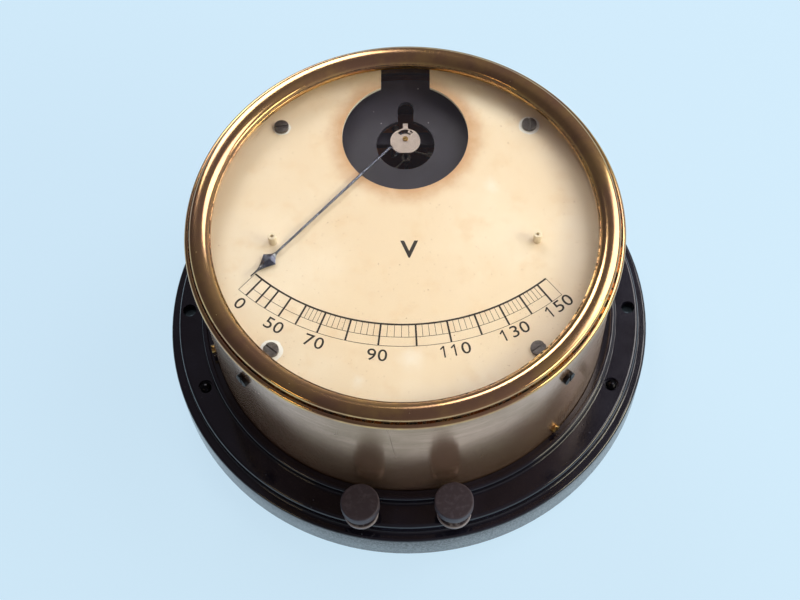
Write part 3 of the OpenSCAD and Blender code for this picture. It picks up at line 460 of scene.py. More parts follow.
@dataclass(frozen=True)
class Enamel(Finish):
    """The base's black enamel: glossy on top, with clouds of painted bluish sheen, grey and
    speckled round the rim.
    """

    black: Colour
    painted_sheen: Colour
    dust: Colour
    rim: Colour
    rim_r: float
    ledge: float
    gloss: Point = (0.08, 0.17)
    clouds: float = 30.0
    peel: float = 80.0
    specks: float = 300.0
    grit: float = 900.0

    def wire_up(self, made: Shade) -> None:
        """Adds the base's nodes."""
        cloud = made.noise(self.clouds, 5, 0.6)
        # The bluish second colour mixed in by clouds is painted sheen, a reflection put into the
        # colour.
        ground = made.blend(made.fade(cloud, 0.4, 0.7), self.black, self.painted_sheen)
        specks = made.specks(self.specks, (0.06, 0.16), 70, (0.56, 0.66), 3)
        ground = made.blend(made.calc("MULTIPLY", specks, 0.5), ground, self.dust)
        # Grey, speckled and rougher on the outer rim wall below the ledge.
        wall = made.calc("MULTIPLY", made.fade(made.radius(), self.rim_r - 0.6, self.rim_r - 0.2),
                         made.fade(made.height(), self.ledge - 0.6, self.ledge - 1.8))
        grit = made.noise(self.grit, 3, 0.7)
        grey = made.blend(made.fade(grit, *NARROW), self.black, self.rim)
        made.set(Base_Color=made.blend(wall, ground, grey),
                 Roughness=made.calc("ADD", made.fade(cloud, *WIDE, *self.gloss),
                                     made.calc("MULTIPLY", wall, 0.22)))
        made.set(Coat_Weight=0.35, Coat_Roughness=0.08)
        made.bump(made.noise(self.peel, 2, 0.5), 0.03, 0.35)


@dataclass(frozen=True)
class DialFace(Finish):
    """Aged cream enamel: a brown halo round the window, foxing, chips and rubs, a painted glare,
    bare cut edges that paint a highlight.
    """

    cream: Colour
    pale: Colour
    warm: Colour
    halo: Colour
    fox: Colour
    chip_and_glare: Colour
    edge: Colour
    axis_y: float
    window: float
    screws: tuple[Triple, ...]
    rubs_and_glare: tuple[Triple, ...]
    gloss: Point = (0.42, 0.6)
    clouds: float = 14.0
    mottle: float = 90.0
    stained: Point = (3.5, 15.0)
    warmer_towards_rim: Point = (78.0, 93.0)
    foxing: tuple[Triple, ...] = ((150, 0.055, 0.85), (420, 0.13, 0.5))

    def wire_up(self, made: Shade) -> None:
        """Adds the dial's nodes."""
        wide = made.noise(self.clouds, 4, 0.55)
        fine = made.noise(self.mottle, 4, 0.6)
        ground = made.blend(made.fade(wide, 0.36, 0.66), self.cream, self.pale)
        ground = made.blend(made.calc("MULTIPLY", made.fade(fine, 0.5, 0.75), 0.35), ground,
                            self.warm)
        away = made.ragged(made.radius(0, self.axis_y), 9.0, 110, 4, 0.6)
        near, far = (self.window + reach for reach in self.stained)
        ground = made.blend(made.fade(away, near, far, 0.85, 0.0), ground, self.halo)
        # Warmer and darker cream towards the rim, under the bezel.
        ground = made.blend(made.fade(made.radius(), *self.warmer_towards_rim, 0.0, 0.35), ground, self.warm)
        for scale, size, share in self.foxing:
            spots = made.specks(scale, (size * 0.5, size), scale * 0.3, (0.42, 0.52), 3, share)
            ground = made.blend(spots, ground, self.fox)
        # Pale patches: rubs, and one painted glare, a lamp's reflection in the glass.
        for x, y, reach in self.rubs_and_glare:
            spot = made.ragged(made.radius(x, y), 8.0, 160, 4, 0.65)
            ground = made.blend(made.fade(spot, 3.0, reach + 6, 0.4, 0.0), ground, self.chip_and_glare)
        for x, y, reach in self.screws:
            ring = made.ragged(made.radius(x, y), 1.6, 380, 3, 0.6)
            bare = made.fade(ring, reach + 0.55, reach + 1.0, 0.92, 0.0)
            ground = made.blend(bare, ground, self.chip_and_glare)
        # The cut edges, faces that don't look up, get a light bare-metal colour that also paints
        # the highlight along the window's edge.
        flat = made.fade(made.facing_up(), 0.5, 0.9)
        made.set(Base_Color=made.blend(flat, self.edge, ground),
                 Roughness=made.fade(fine, *WIDE, *self.gloss))
        made.bump(fine, 0.02, 0.3)


@dataclass(frozen=True)
class Turned(Finish):
    """Hard rubber or metal with fine lathe rings round each of several centres."""

    colour: Colour
    pale: Colour
    gloss: float
    centres: tuple[Point, ...]
    reach: float
    pale_rim: float = 0.22
    pitch: float = 9.0
    clouds: float = 150.0
    hazes: float = 420.0

    def wire_up(self, made: Shade) -> None:
        """Adds the turned finish's nodes."""
        away: Level = FAR
        for x, y in self.centres:
            away = made.calc("MINIMUM", made.radius(x, y), away)
        rings = made.calc("SINE", made.calc("MULTIPLY", away, self.pitch))
        cloud = made.noise(self.clouds, 4, 0.6)
        haze = made.fade(made.noise(self.hazes, 3, 0.6), 0.45, 0.72)
        # A paler band just inside the reach; on the terminal bushes, with a large share, it is a
        # painted highlight along the top edge.
        worn = made.calc("MULTIPLY", made.fade(away, self.reach - 1.0, self.reach - 0.2), self.pale_rim)
        share = made.calc("MAXIMUM", made.calc("MULTIPLY", haze, 0.3), worn)
        made.set(Base_Color=made.blend(share, self.colour, self.pale),
                 Roughness=made.fade(cloud, *WIDE, self.gloss, self.gloss + 0.15))
        made.set(Specular_IOR_Level=0.3)
        made.bump(rings, 0.006, 0.4)


@dataclass(frozen=True)
class Glass(Finish):
    """Flat clear glass with a trace of dust, which lets light reach the dial."""

    tint: Colour
    shadow: Colour = (0.97, 0.98, 0.97)
    dust: float = 240.0

    def wire_up(self, made: Shade) -> None:
        """Adds the glass's nodes."""
        made.set(Transmission_Weight=1.0, IOR=1.45)
        dust = made.noise(self.dust, 4, 0.7)
        made.set(Base_Color=self.tint, Roughness=made.fade(dust, 0.55, 0.8, 0.0, 0.03))
        clear = made.node("ShaderNodeBsdfTransparent")
        clear.inputs["Color"].default_value = (*self.shadow, 1.0)
        made.over(made.node("ShaderNodeLightPath").outputs["Is Shadow Ray"], clear.outputs[0])


@dataclass(frozen=True)
class Wound(Finish):
    """Turns of covered wire round an upright coil."""

    wire: Colour
    gap: Colour
    pitch: float
    shine: float
    gloss: Point = (0.35, 0.5)
    waves: float = 90.0

    def wire_up(self, made: Shade) -> None:
        """Adds the winding's nodes."""
        turns = made.calc("SINE", made.calc("MULTIPLY", made.height(), 2 * math.pi / self.pitch))
        sway = made.noise(self.waves, 3, 0.5)
        tone = made.calc("ADD", turns, made.calc("MULTIPLY", sway, 0.8))
        # The gap colour between the turns is painted shade in the creases between the wires.
        made.set(Base_Color=made.blend(made.fade(tone, -0.5, 0.7), self.gap, self.wire),
                 Roughness=made.fade(sway, *WIDE, *self.gloss))
        made.set(Metallic=self.shine)
        made.bump(turns, self.pitch * 0.3, 0.8)


BRIGHT_BRASS = Metal("satin_brass", srgb(206, 168, 92), srgb(140, 100, 48))
SCREW_BRASS = Metal("screw_brass", srgb(196, 160, 98), srgb(110, 84, 52), 0.24, 0.42)
PLAIN_STEEL = Metal("plain_steel", srgb(150, 148, 144), srgb(92, 90, 88), 0.28, 0.5)
DARK_STEEL = Metal("blackened_steel", srgb(92, 86, 80), srgb(38, 35, 33), 0.3, 0.55, 300.0)
COVER_STEEL = Metal("cover_screw_steel", srgb(40, 40, 44), srgb(16, 16, 18), 0.18, 0.35, 300.0)
NICKEL = Metal("nickel_plate", srgb(216, 201, 192), srgb(190, 175, 166), 0.28, 0.4, 120.0, 2500.0,
               0.004)
DIAL_STEEL = Metal("dial_screw_steel", srgb(128, 122, 118), srgb(92, 87, 84), 0.3, 0.45, 240.0,
                   2500.0)
BEZEL_STEEL = Metal("bezel_screw_steel", srgb(62, 58, 56), srgb(36, 33, 32), 0.38, 0.55, 240.0,
                    2500.0)
NEEDLE_STEEL = Metal("needle_steel", srgb(104, 108, 124), srgb(72, 75, 87), 0.22, 0.34, 200.0,
                     2500.0, 0.0)
BLUED = Metal("blued_spring", srgb(96, 104, 150), srgb(58, 60, 96), 0.2, 0.3)
BACK_PAINT = Paint("back_lacquer", srgb(52, 49, 46), srgb(38, 35, 33), srgb(96, 88, 78), 0.5, 0.05)
PLATE_PAINT = Paint("movement_lacquer", srgb(50, 48, 61), srgb(42, 40, 52), srgb(190, 190, 192),
                    0.4, 0.03, 900.0, 0.03)
PIN_PAINT = Paint("cream_enamel", srgb(226, 213, 192), srgb(208, 192, 168), srgb(150, 120, 90),
                  0.4, 0.04)
INK = Paint("scale_ink", srgb(38, 29, 22), srgb(26, 20, 15), srgb(110, 92, 74), 0.7, 0.03, 2500.0,
            0.004)
CARD = Paint("gasket_card", srgb(92, 70, 52), srgb(74, 55, 40), srgb(120, 98, 76), 0.8, 0.04,
             1200.0, 0.05)
FIBRE = Paint("vulcanised_fibre", srgb(122, 74, 44), srgb(98, 58, 34), srgb(140, 98, 62), 0.5, 0.03)
CERAMIC = Paint("unglazed_ceramic", srgb(214, 206, 190), srgb(196, 186, 168), srgb(150, 138, 120),
                0.75, 0.04, 1400.0, 0.04)
CLOTH = Paint("cotton_cover", srgb(112, 40, 32), srgb(84, 28, 24), srgb(150, 70, 56), 0.85, 0.05,
              2600.0, 0.12)


@dataclass
class Profile:
    """A closed outline in radius and height, in millimetres, ready to be spun."""

    points: list[Point] = field(default_factory=list)

    def to(self, *spots: Point) -> "Profile":
        """Adds corners, and two holding points on each long straight so that it stays flat."""
        for spot in spots:
            if self.points:
                a, b = Vector(self.points[-1]), Vector(spot)
                gap = (b - a).length
                if gap > LONG_STRAIGHT:
                    step = (b - a).normalized() * HOLD
                    self.points += [tuple(a + step), tuple(b - step)]
            self.points.append(spot)
        return self

    def arc(self, r: float, z: float, size: float, start: float, end: float, steps: int) -> None:
        """Adds an arc.

        Args:
            r: Radius of the arc's centre from the axis.
            z: Height of the arc's centre.
            size: The arc's own radius.
            start: First angle in degrees, from outwards, counted towards up.
            end: Last angle.
            steps: Straight pieces in the arc.
        """
        turn = [math.radians(start + (end - start) * i / steps) for i in range(steps + 1)]
        ends = [(r + size * math.cos(a), z + size * math.sin(a)) for a in turn]
        self.to(ends[0])
        self.points += ends[1:]

    def spun(self, steps: int) -> bmesh.types.BMesh:
        """Spins the outline round the instrument's axis.

        Args:
            steps: Faces round the axis.

        Returns:
            The closed mesh, in metres.
        """
        bm = bmesh.new()
        ring = [bm.verts.new((r * MM, 0, z * MM)) for r, z in self.points]
        edges = [bm.edges.new(pair) for pair in zip(ring, ring[1:] + ring[:1])]
        bmesh.ops.spin(bm, geom=ring + edges, cent=(0, 0, 0), axis=(0, 0, 1), angle=2 * math.pi,
                       steps=steps, use_merge=True, use_duplicate=False)
        bmesh.ops.remove_doubles(bm, verts=bm.verts, dist=MERGE)
        bmesh.ops.recalc_face_normals(bm, faces=bm.faces)
        return bm


def drawn(curve: bpy.types.Curve) -> bmesh.types.BMesh:
    """Turns a curve or a sign into a mesh.

    Args:
        curve: The curve, which is used up.

    Returns:
        Its mesh, in the curve's own units.
    """
    holder = bpy.data.objects.new(curve.name, curve)
    mesh = bpy.data.meshes.new_from_object(holder)
    bm = bmesh.new()
    bm.from_mesh(mesh)
    bpy.data.objects.remove(holder)
    bpy.data.curves.remove(curve)
    bpy.data.meshes.remove(mesh)
    return bm


class Bench:
    """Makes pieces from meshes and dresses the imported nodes."""

    def __init__(self) -> None:
        """Starts with no materials made."""
        self.made: dict[str, bpy.types.Material] = {}
        self.slots = {s["node"]: s["material_slot"] for s in frame["record"]["subparts"]}

    def coat(self, finish: Finish) -> bpy.types.Material:
        """Returns the finish's material, made once."""
        if finish.name not in self.made:
            self.made[finish.name] = finish.material()
        return self.made[finish.name]

    def dress(self, finish: Finish, *nodes: str) -> None:
        """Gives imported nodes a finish."""
        for name in nodes:
            data = frame["nodes"][name].data
            if not data.materials:
                data.materials.append(None)
            for slot in frame["nodes"][name].material_slots:
                slot.material = self.coat(finish)
            LOG.info("node %s: %s", name, finish.name)

    @staticmethod
    def shade(bm: bmesh.types.BMesh, limit: float) -> None:
        """Smooths curved faces, leaves flat ones flat and keeps edges over limit degrees crisp."""
        for face in bm.faces:
            face.smooth = True
        for edge in bm.edges:
            if len(edge.link_faces) == 2 and edge.calc_face_angle(0) < math.radians(FLUSH):
                for face in edge.link_faces:
                    face.smooth = False
        for face in bm.faces:
            face.smooth = face.smooth and len(face.verts) < 5
        for edge in bm.edges:
            edge.smooth = (len(edge.link_faces) == 2
                           and edge.calc_face_angle(0) < math.radians(limit))

    def piece(self, name: str, bm: bmesh.types.BMesh, finish: Finish, like: str,
              stands_for: Sequence[str] = (), limit: float = 28.0) -> bpy.types.Object:
        """Turns a mesh into a finished piece.

        Args:
            name: The piece's name.
            bm: Its mesh in metres, which is used up.
            finish: Its finish.
            like: The node whose body it joins.
            stands_for: Nodes that it replaces.
            limit: Edges sharper than this many degrees stay crisp.

        Returns:
            The piece.
        """
        self.shade(bm, limit)
        mesh = bpy.data.meshes.new(name)
        bm.to_mesh(mesh)
        bm.free()
        made = shown(name, mesh)
        mesh.materials.append(self.coat(finish))
        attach(made, frame["nodes"][like]["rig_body"])
        if stands_for:
            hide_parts(*stands_for)
        LOG.info("piece %s: %d faces, %s", name, len(mesh.polygons), finish.name)
        return made

    def eased(self, node: str, finish: Finish, edge: Edge) -> bpy.types.Object:
        """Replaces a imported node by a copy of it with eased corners.

        Args:
            node: The node.
            finish: The copy's finish.
            edge: How far its corners are eased.

        Returns:
            The copy.
        """
        source = frame["nodes"][node]
        bm = bmesh.new()
        bm.from_mesh(source.data)
        bmesh.ops.remove_doubles(bm, verts=bm.verts, dist=PACKED_MERGE)
        bmesh.ops.dissolve_limit(bm, angle_limit=math.radians(FLAT), verts=bm.verts, edges=bm.edges)
        sharp = [e for e in bm.edges
                 if len(e.link_faces) == 2 and e.calc_face_angle(0) > math.radians(CORNER)]
        bmesh.ops.bevel(bm, geom=sharp, offset=edge.value * MM, offset_type="OFFSET", segments=2,
                        profile=0.5, affect="EDGES", clamp_overlap=True, material=-1)
        return self.piece(node + "_dressed", bm, finish, node, [node])


@dataclass
class CaseDressing:
    """The base casting, the drum, the bezel and their screws."""

    bench: Bench
    drum_r: float = 97.5
    drum_in: float = 96.0
    drum_foot: float = 24.0
    drum_top: float = 105.5
    ledge_z: float = 17.5
    rim_r: float = 119.4
    lip_r: float = 87.8
    lip_z: float = 106.5
    skirt: Point = (93.8, 95.7)
    skirt_z: float = 81.0
    bezel_r: float = 100.0
    drum_gap: float = 0.2
    drum_steps: int = 256
    bezel_steps: int = 320
    foot_round: float = 0.4
    groove: Point = (2.1, 0.8)
    lip_round: float = 0.5

    def build(self) -> None:
        """Builds and dresses the case."""
        self.casting()
        self.drum()
        self.bezel()
        for node, finish in (("bezel_screws", BEZEL_STEEL), ("cover_screws", COVER_STEEL),
                             ("drum_foot_screws", SCREW_BRASS)):
            self.bench.eased(node, finish, Edge.EASED)
        self.bench.dress(BACK_PAINT, "back_plate")
        self.bench.dress(CARD, "glass_gasket")
        self.bench.dress(BRIGHT_BRASS, "glass_retainer")
        self.bench.dress(Glass("clear_glass", (1.0, 1.0, 0.99)), "cover_glass")

    def casting(self) -> None:
        """Dresses the base in enamel."""
        finish = Enamel("black_enamel", srgb(21, 19, 29), srgb(28, 28, 42), srgb(92, 98, 110),
                        srgb(120, 122, 128), self.rim_r, self.ledge_z)
        self.bench.eased("base_casting", finish, Edge.CRISP)

    def drum(self) -> None:
        """Builds the drum as a thin spun wall."""
        top = self.drum_top - self.drum_gap
        outline = Profile().to((self.drum_in, self.drum_foot), (self.drum_r, self.drum_foot),
                               (self.drum_r, top), (self.drum_in, top))
        finish = PlatedDrum("plated_drum", srgb(210, 170, 143), srgb(180, 146, 116),
                            srgb(64, 48, 36), self.drum_top)
        self.bench.piece("case_drum_dressed", outline.spun(self.drum_steps), finish, "case_drum",
                         ["case_drum"])

    def bezel(self) -> None:
        """Builds the bezel: a bead, a groove, a shoulder, a broad round and the lip."""
        r, z, foot, lip = self.bezel_r, self.lip_z, self.foot_round, self.lip_r + self.lip_round
        groove = r - self.groove[0]
        outline = Profile().to((self.skirt[0], self.skirt_z), (self.skirt[1], self.skirt_z),
                               (self.skirt[1], self.drum_top))
        outline.arc(r - foot, self.drum_top + foot, foot, 270, 360, 5)
        # The bead, and the groove over it.
        outline.arc(r - 1.5, z - 0.3, 1.5, 0, 100, 16)
        outline.to((groove, z + self.groove[1]))
        # The shoulder, the broad round and its fall towards the glass.
        outline.arc(r - 4.3, z + 2.2, 1.9, -10, 75, 18)
        outline.arc(r - 6.4, z - 5.62, 10.0, 76, 95, 12)
        outline.arc(r - 6.75, z - 1.64, 6.0, 96, 134, 20)
        # The lip, and the ledge that the glass lies against.
        outline.arc(lip, z + 1.2, self.lip_round, 70, 180, 10)
        outline.to((self.lip_r, z), (self.skirt[0], z))
        # The dark rings: tarnish in the bezel's groove, and a painted shadow line at the lip.
        finish = Brass("bezel_brass", srgb(226, 187, 124), srgb(190, 150, 116), srgb(22, 16, 12),
                       ((groove, 0.5), (lip, 0.3)))
        self.bench.piece("bezel_dressed", outline.spun(self.bezel_steps), finish, "bezel",
                         ["bezel"])


@dataclass
class DialDressing:
    """The dial with its numbers, screws and stop pins."""

    bench: Bench
    face_z: float = 98.0
    axis_y: float = 53.8
    window: float = 29.9
    screw_half: float = 58.8
    # Pale patches on the dial (x, y, reach): rubs, and at (3, -63) a painted glare, a lamp's
    # reflection in the glass.
    rubs_and_glare: tuple[Triple, ...] = (
        (40.0, 26.0, 4.0), (3.0, -63.0, 6.5), (-20.0, -74.0, 3.0))
    digit_h: float = 5.7
    digit_gap: float = 4.9
    digit_wide: float = 1.14
    digit_bold: float = 0.004
    stroke: float = 0.68
    flag_at: Point = (-0.72, 1.98)
    flag_lean: float = 38.0
    flag_long: float = 2.2
    labels: tuple[tuple[str, float, float], ...] = (
        ("0", -39.7, 115.5), ("50", -30.2, 115.7), ("70", -20.3, 115.4), ("90", -6.0, 115.6),
        ("110", 11.2, 115.0), ("130", 25.1, 114.7), ("150", 36.9, 114.4))
    unit: str = "V"
    unit_h: float = 9.0
    unit_bold: float = 0.022
    unit_at: Point = (2.0, -8.0)

    def build(self) -> None:
        """Builds and dresses the dial."""
        half = self.screw_half
        face = DialFace("dial_enamel", srgb(227, 208, 183), srgb(233, 219, 200),
                        srgb(220, 190, 155), srgb(190, 144, 102), srgb(146, 108, 76),
                        srgb(240, 240, 240), srgb(214, 210, 200), self.axis_y, self.window,
                        ((-half, -half, 5.4), (half, half, 5.0), (-half, half, 4.2)), self.rubs_and_glare)
        self.bench.eased("dial_plate", face, Edge.CRISP)
        self.bench.dress(INK, "scale_marks")
        self.bench.eased("dial_screws", DIAL_STEEL, Edge.ROUNDED)
        self.bench.eased("stop_pins", PIN_PAINT, Edge.EASED)
        self.bench.dress(BRIGHT_BRASS, "dial_spacers")
        for word, angle, reach in self.labels:
            self.number(word, angle, reach)
        x, y = self.unit_at
        letter = self.glyph(self.unit, self.unit_h, self.unit_bold,
                            Matrix.Translation((x * MM, y * MM, self.face_z * MM)))
        self.bench.piece("unit_letter", letter, INK, "scale_marks")

    @staticmethod
    def glyph(sign: str, size: float, bold: float, place: Matrix) -> bmesh.types.BMesh:
        """Makes one sign as a thin closed solid.

        Args:
            sign: The digit or letter.
            size: Its height in millimetres.
            bold: How far its strokes are widened, in parts of the font's own size.
            place: Where its middle goes.

        Returns:
            Its mesh in metres.
        """
        curve = bpy.data.curves.new("sign", "FONT")
        curve.body = sign
        curve.extrude = 0.5
        curve.offset = bold
        bm = drawn(curve)
        low = [min(v.co[i] for v in bm.verts) for i in range(3)]
        high = [max(v.co[i] for v in bm.verts) for i in range(3)]
        middle = Vector([-(low[i] + high[i]) / 2 for i in range(3)])
        grow = size * MM / (high[1] - low[1])
        thin = PRINT * MM / (high[2] - low[2])
        bmesh.ops.translate(bm, verts=bm.verts, vec=middle)
        bmesh.ops.scale(bm, verts=bm.verts, vec=(grow, grow, thin))
        bmesh.ops.translate(bm, verts=bm.verts, vec=(0, 0, PRINT / 2 * MM))
        bmesh.ops.remove_doubles(bm, verts=bm.verts, dist=MERGE)
        bmesh.ops.transform(bm, matrix=place, verts=bm.verts)
        return bm

    def one(self, place: Matrix) -> bmesh.types.BMesh:
        """Makes the digit 1 as an upright stroke with a short flag.

        Args:
            place: Where its middle goes.

        Returns:
            Its mesh in metres.
        """
        bm = bmesh.new()
        x, y = self.flag_at
        flag = (Matrix.Translation((x * MM, y * MM, 0))
                @ Matrix.Rotation(math.radians(self.flag_lean), 4, "Z"))
        for spot, long, wide in ((Matrix.Identity(4), self.stroke, self.digit_h),
                                 (flag, self.flag_long, self.stroke)):
            size = Matrix.Diagonal((long * MM, wide * MM, PRINT * MM, 1))
            lift = Matrix.Translation((0, 0, PRINT / 2 * MM))
            bmesh.ops.create_cube(bm, size=1.0, matrix=place @ spot @ lift @ size)
        return bm

    def number(self, word: str, angle: float, reach: float) -> None:
        """Sets a number on the arc under the scale, each digit turned to face the axis.

        Args:
            word: The digits.
            angle: Angle of the number's middle from -Y towards +X, in degrees.
            reach: Distance of its middle from the axis, in millimetres.
        """
        whole = bmesh.new()
        for i, digit in enumerate(word):
            lean = angle + math.degrees((i - (len(word) - 1) / 2) * self.digit_gap / reach)
            spin = Matrix.Rotation(math.radians(lean), 4, "Z")
            place = (Matrix.Translation((0, self.axis_y * MM, self.face_z * MM)) @ spin
                     @ Matrix.Translation((0, -reach * MM, 0)))
            wide = place @ Matrix.Diagonal((self.digit_wide, 1, 1, 1))
            if digit == "1":
                part = self.one(place)
            else:
                part = self.glyph(digit, self.digit_h, self.digit_bold, wide)
            spare = bpy.data.meshes.new("spare")
            part.to_mesh(spare)
            part.free()
            whole.from_mesh(spare)
            bpy.data.meshes.remove(spare)
        self.bench.piece("number_" + word, whole, INK, "scale_marks")


@dataclass
class MovementDressing:
    """The pointer and the works behind the window."""

    bench: Bench
    axis_y: float = 53.8
    rest: float = -42.4
    root: Point = (2.5, 89.3)
    gauge: float = 0.75
    taper: float = 0.2
    riser: float = 9.2
    needle_z: float = 99.5
    neck: float = 85.0
    barb: float = 91.0
    tip: float = 100.0
    spike: float = 103.0
    barb_w: float = 3.9
    wire: float = 0.5
    tip_w: float = 0.3
    spike_w: float = 0.12
    hollow: float = 2.2
    swell: float = 1.5
    ridge: Point = (-0.2, 0.9)
    sheet: float = 0.3

    def build(self) -> None:
        """Builds the pointer and dresses the works."""
        self.needle()
        self.arrow()
        bench = self.bench
        bench.dress(PLATE_PAINT, "movement_plate", "upper_crossbar")
        bench.eased("bearing_plate", NICKEL, Edge.CRISP)
        bench.eased("upper_bearing_screw", SCREW_BRASS, Edge.CRISP)
        bench.eased("zero_lever", NICKEL, Edge.CRISP)
        bench.dress(BRIGHT_BRASS, "case_pillars", "frame_posts", "lower_bridge", "pointer_hub",
                    "spring_collet", "crossbar_posts", "bearing_plate_screw",
                    "lower_bearing_screw", "bearing_locknut", "damping_chamber", "damping_lid",
                    "resistor_nuts")
        bench.dress(PLAIN_STEEL, "pillar_screws", "frame_screws", "coil_screws", "crossbar_screws",
                    "fixed_iron", "resistor_rods")
        # Dark steel for the spindle and iron; on the balance arms, weights and vane it also stands
        # in for the shade they lie in behind the plate.
        bench.dress(DARK_STEEL, "spindle", "moving_iron", "balance_arms", "balance_weights",
                    "damping_vane")
        bench.dress(BLUED, "hairspring")
        bench.dress(FIBRE, "coil_bobbin")
        bench.dress(Wound("copper_turns", srgb(176, 96, 52), srgb(70, 30, 16), 0.5, 0.8),
                    "coil_winding")
        bench.dress(Wound("resistance_turns", srgb(96, 112, 78), srgb(40, 46, 30), 0.35, 0.0),
                    "resistor_windings")
        bench.dress(CERAMIC, "resistor_spools")
        bench.dress(CLOTH, "lead_wires")

    def facing(self) -> Matrix:
        """Returns the turn and place that lay the pointer's own X along its rest direction."""
        return (Matrix.Translation((0, self.axis_y * MM, 0))
                @ Matrix.Rotation(math.radians(self.rest - 90), 4, "Z"))

    def needle(self) -> None:
        """Builds the pointer's drawn wire, bent up through the window."""
        curve = bpy.data.curves.new("needle", "CURVE")
        curve.dimensions = "3D"
        curve.bevel_depth = MM
        curve.bevel_resolution = 3
        curve.use_fill_caps = True
        (r0, z0), z1 = self.root, self.needle_z
        # Out of the hub, up the riser, and out again over the dial.
        route = [(r0, z0), (6.5, z0), (8.4, z0 + 0.15), (9.05, z0 + 0.9), (self.riser, z0 + 2.2),
                 (self.riser, z1 - 1.6), (9.6, z1 - 0.5), (10.8, z1), (self.neck + 1.5, z1)]
        line = curve.splines.new("POLY")
        line.points.add(len(route) - 1)
        for point, (r, z) in zip(line.points, route):
            point.co = (r * MM, 0, z * MM, 1)
            point.radius = self.gauge - self.taper * r / self.neck
        bm = drawn(curve)
        bmesh.ops.remove_doubles(bm, verts=bm.verts, dist=MERGE)
        bmesh.ops.recalc_face_normals(bm, faces=bm.faces)
        bmesh.ops.transform(bm, matrix=self.facing(), verts=bm.verts)
        self.bench.piece("pointer_needle", bm, NEEDLE_STEEL, "pointer", ["pointer"], 50.0)

    def arrow(self) -> None:
        """Builds the arrowhead: hollow sides falling from a ridge along its middle."""
        steps = 8
        side: list[Point] = []
        for i in range(steps + 1):
            t = i / steps
            side.append((self.neck + (self.barb - self.neck) * t,
                         self.wire + (self.barb_w - self.wire) * t ** self.hollow))
        for i in range(1, steps + 1):
            t = i / steps
            side.append((self.barb + (self.tip - self.barb) * t,
                         self.tip_w + (self.barb_w - self.tip_w) * (1 - t) ** self.swell))
        side.append((self.spike, self.spike_w))
        bm = bmesh.new()
        low, top = ((self.needle_z + rise) * MM for rise in self.ridge)
        rim = [bm.verts.new((x * MM, y * MM, low)) for x, y in side]
        ridge = [bm.verts.new((x * MM, 0, top)) for x, _ in side]
        edges = [bm.edges.new(pair) for chain in (rim, ridge) for pair in zip(chain, chain[1:])]
        bmesh.ops.bridge_loops(bm, edges=edges)
        bmesh.ops.mirror(bm, geom=bm.verts[:] + bm.edges[:] + bm.faces[:], axis="Y",
                         merge_dist=1e-6)
        bmesh.ops.remove_doubles(bm, verts=bm.verts, dist=MERGE)
        bmesh.ops.recalc_face_normals(bm, faces=bm.faces)
        bmesh.ops.solidify(bm, geom=bm.faces[:], thickness=self.sheet * MM)
        bmesh.ops.recalc_face_normals(bm, faces=bm.faces)
        bmesh.ops.transform(bm, matrix=self.facing(), verts=bm.verts)
        self.bench.piece("pointer_arrow", bm, NEEDLE_STEEL, "pointer", (), 12.0)


@dataclass
class TerminalDressing:
    """The two terminals on the flange."""

    bench: Bench
    reach: float = 109.7
    spread: float = 11.4
    cap_r: float = 9.05
    bush_r: float = 8.1

    def build(self) -> None:
        """Dresses the terminals."""
        a = math.radians(self.spread)
        x, y = self.reach * math.sin(a), -self.reach * math.cos(a)
        posts = ((-x, y), (x, y))
        rubber = Turned("hard_rubber", srgb(66, 59, 69), srgb(104, 98, 110), 0.42, posts,
                        self.cap_r)
        for node in ("left_knob", "right_knob"):
            self.bench.eased(node, rubber, Edge.CRISP)
        # The bushes' near-white rim is a painted highlight along their top edge.
        rim = Turned("rubber_with_painted_rim_highlight", srgb(50, 45, 54), srgb(206, 200, 208), 0.3, posts, self.bush_r,
                     0.6)
        self.bench.eased("terminal_bushes", rim, Edge.ROUNDED)
        self.bench.dress(rubber, "inner_bushes")
        for node in ("left_clamp_washer", "right_clamp_washer", "terminal_studs"):
            self.bench.eased(node, NICKEL, Edge.EASED)
        self.bench.dress(NICKEL, "stud_washers")
        self.bench.dress(BRIGHT_BRASS, "stud_nuts")


@dataclass(frozen=True)
class Lamp:
    """A rectangular lamp: its place and its two sides in metres, its watts and its colour."""

    name: str
    place: Triple
    size: Point
    power: float
    colour: Colour

    def hang(self, aim: Sequence[float]) -> None:
        """Hangs the lamp so that it looks at a point in metres."""
        data = bpy.data.lights.new(self.name, "AREA")
        data.shape = "RECTANGLE"
        data.size, data.size_y = self.size
        data.energy = self.power
        data.color = self.colour
        made = shown(self.name, data)
        away = Vector(self.place) - Vector(aim)
        made.matrix_world = (Matrix.Translation(self.place)
                             @ away.to_track_quat("Z", "Y").to_matrix().to_4x4())


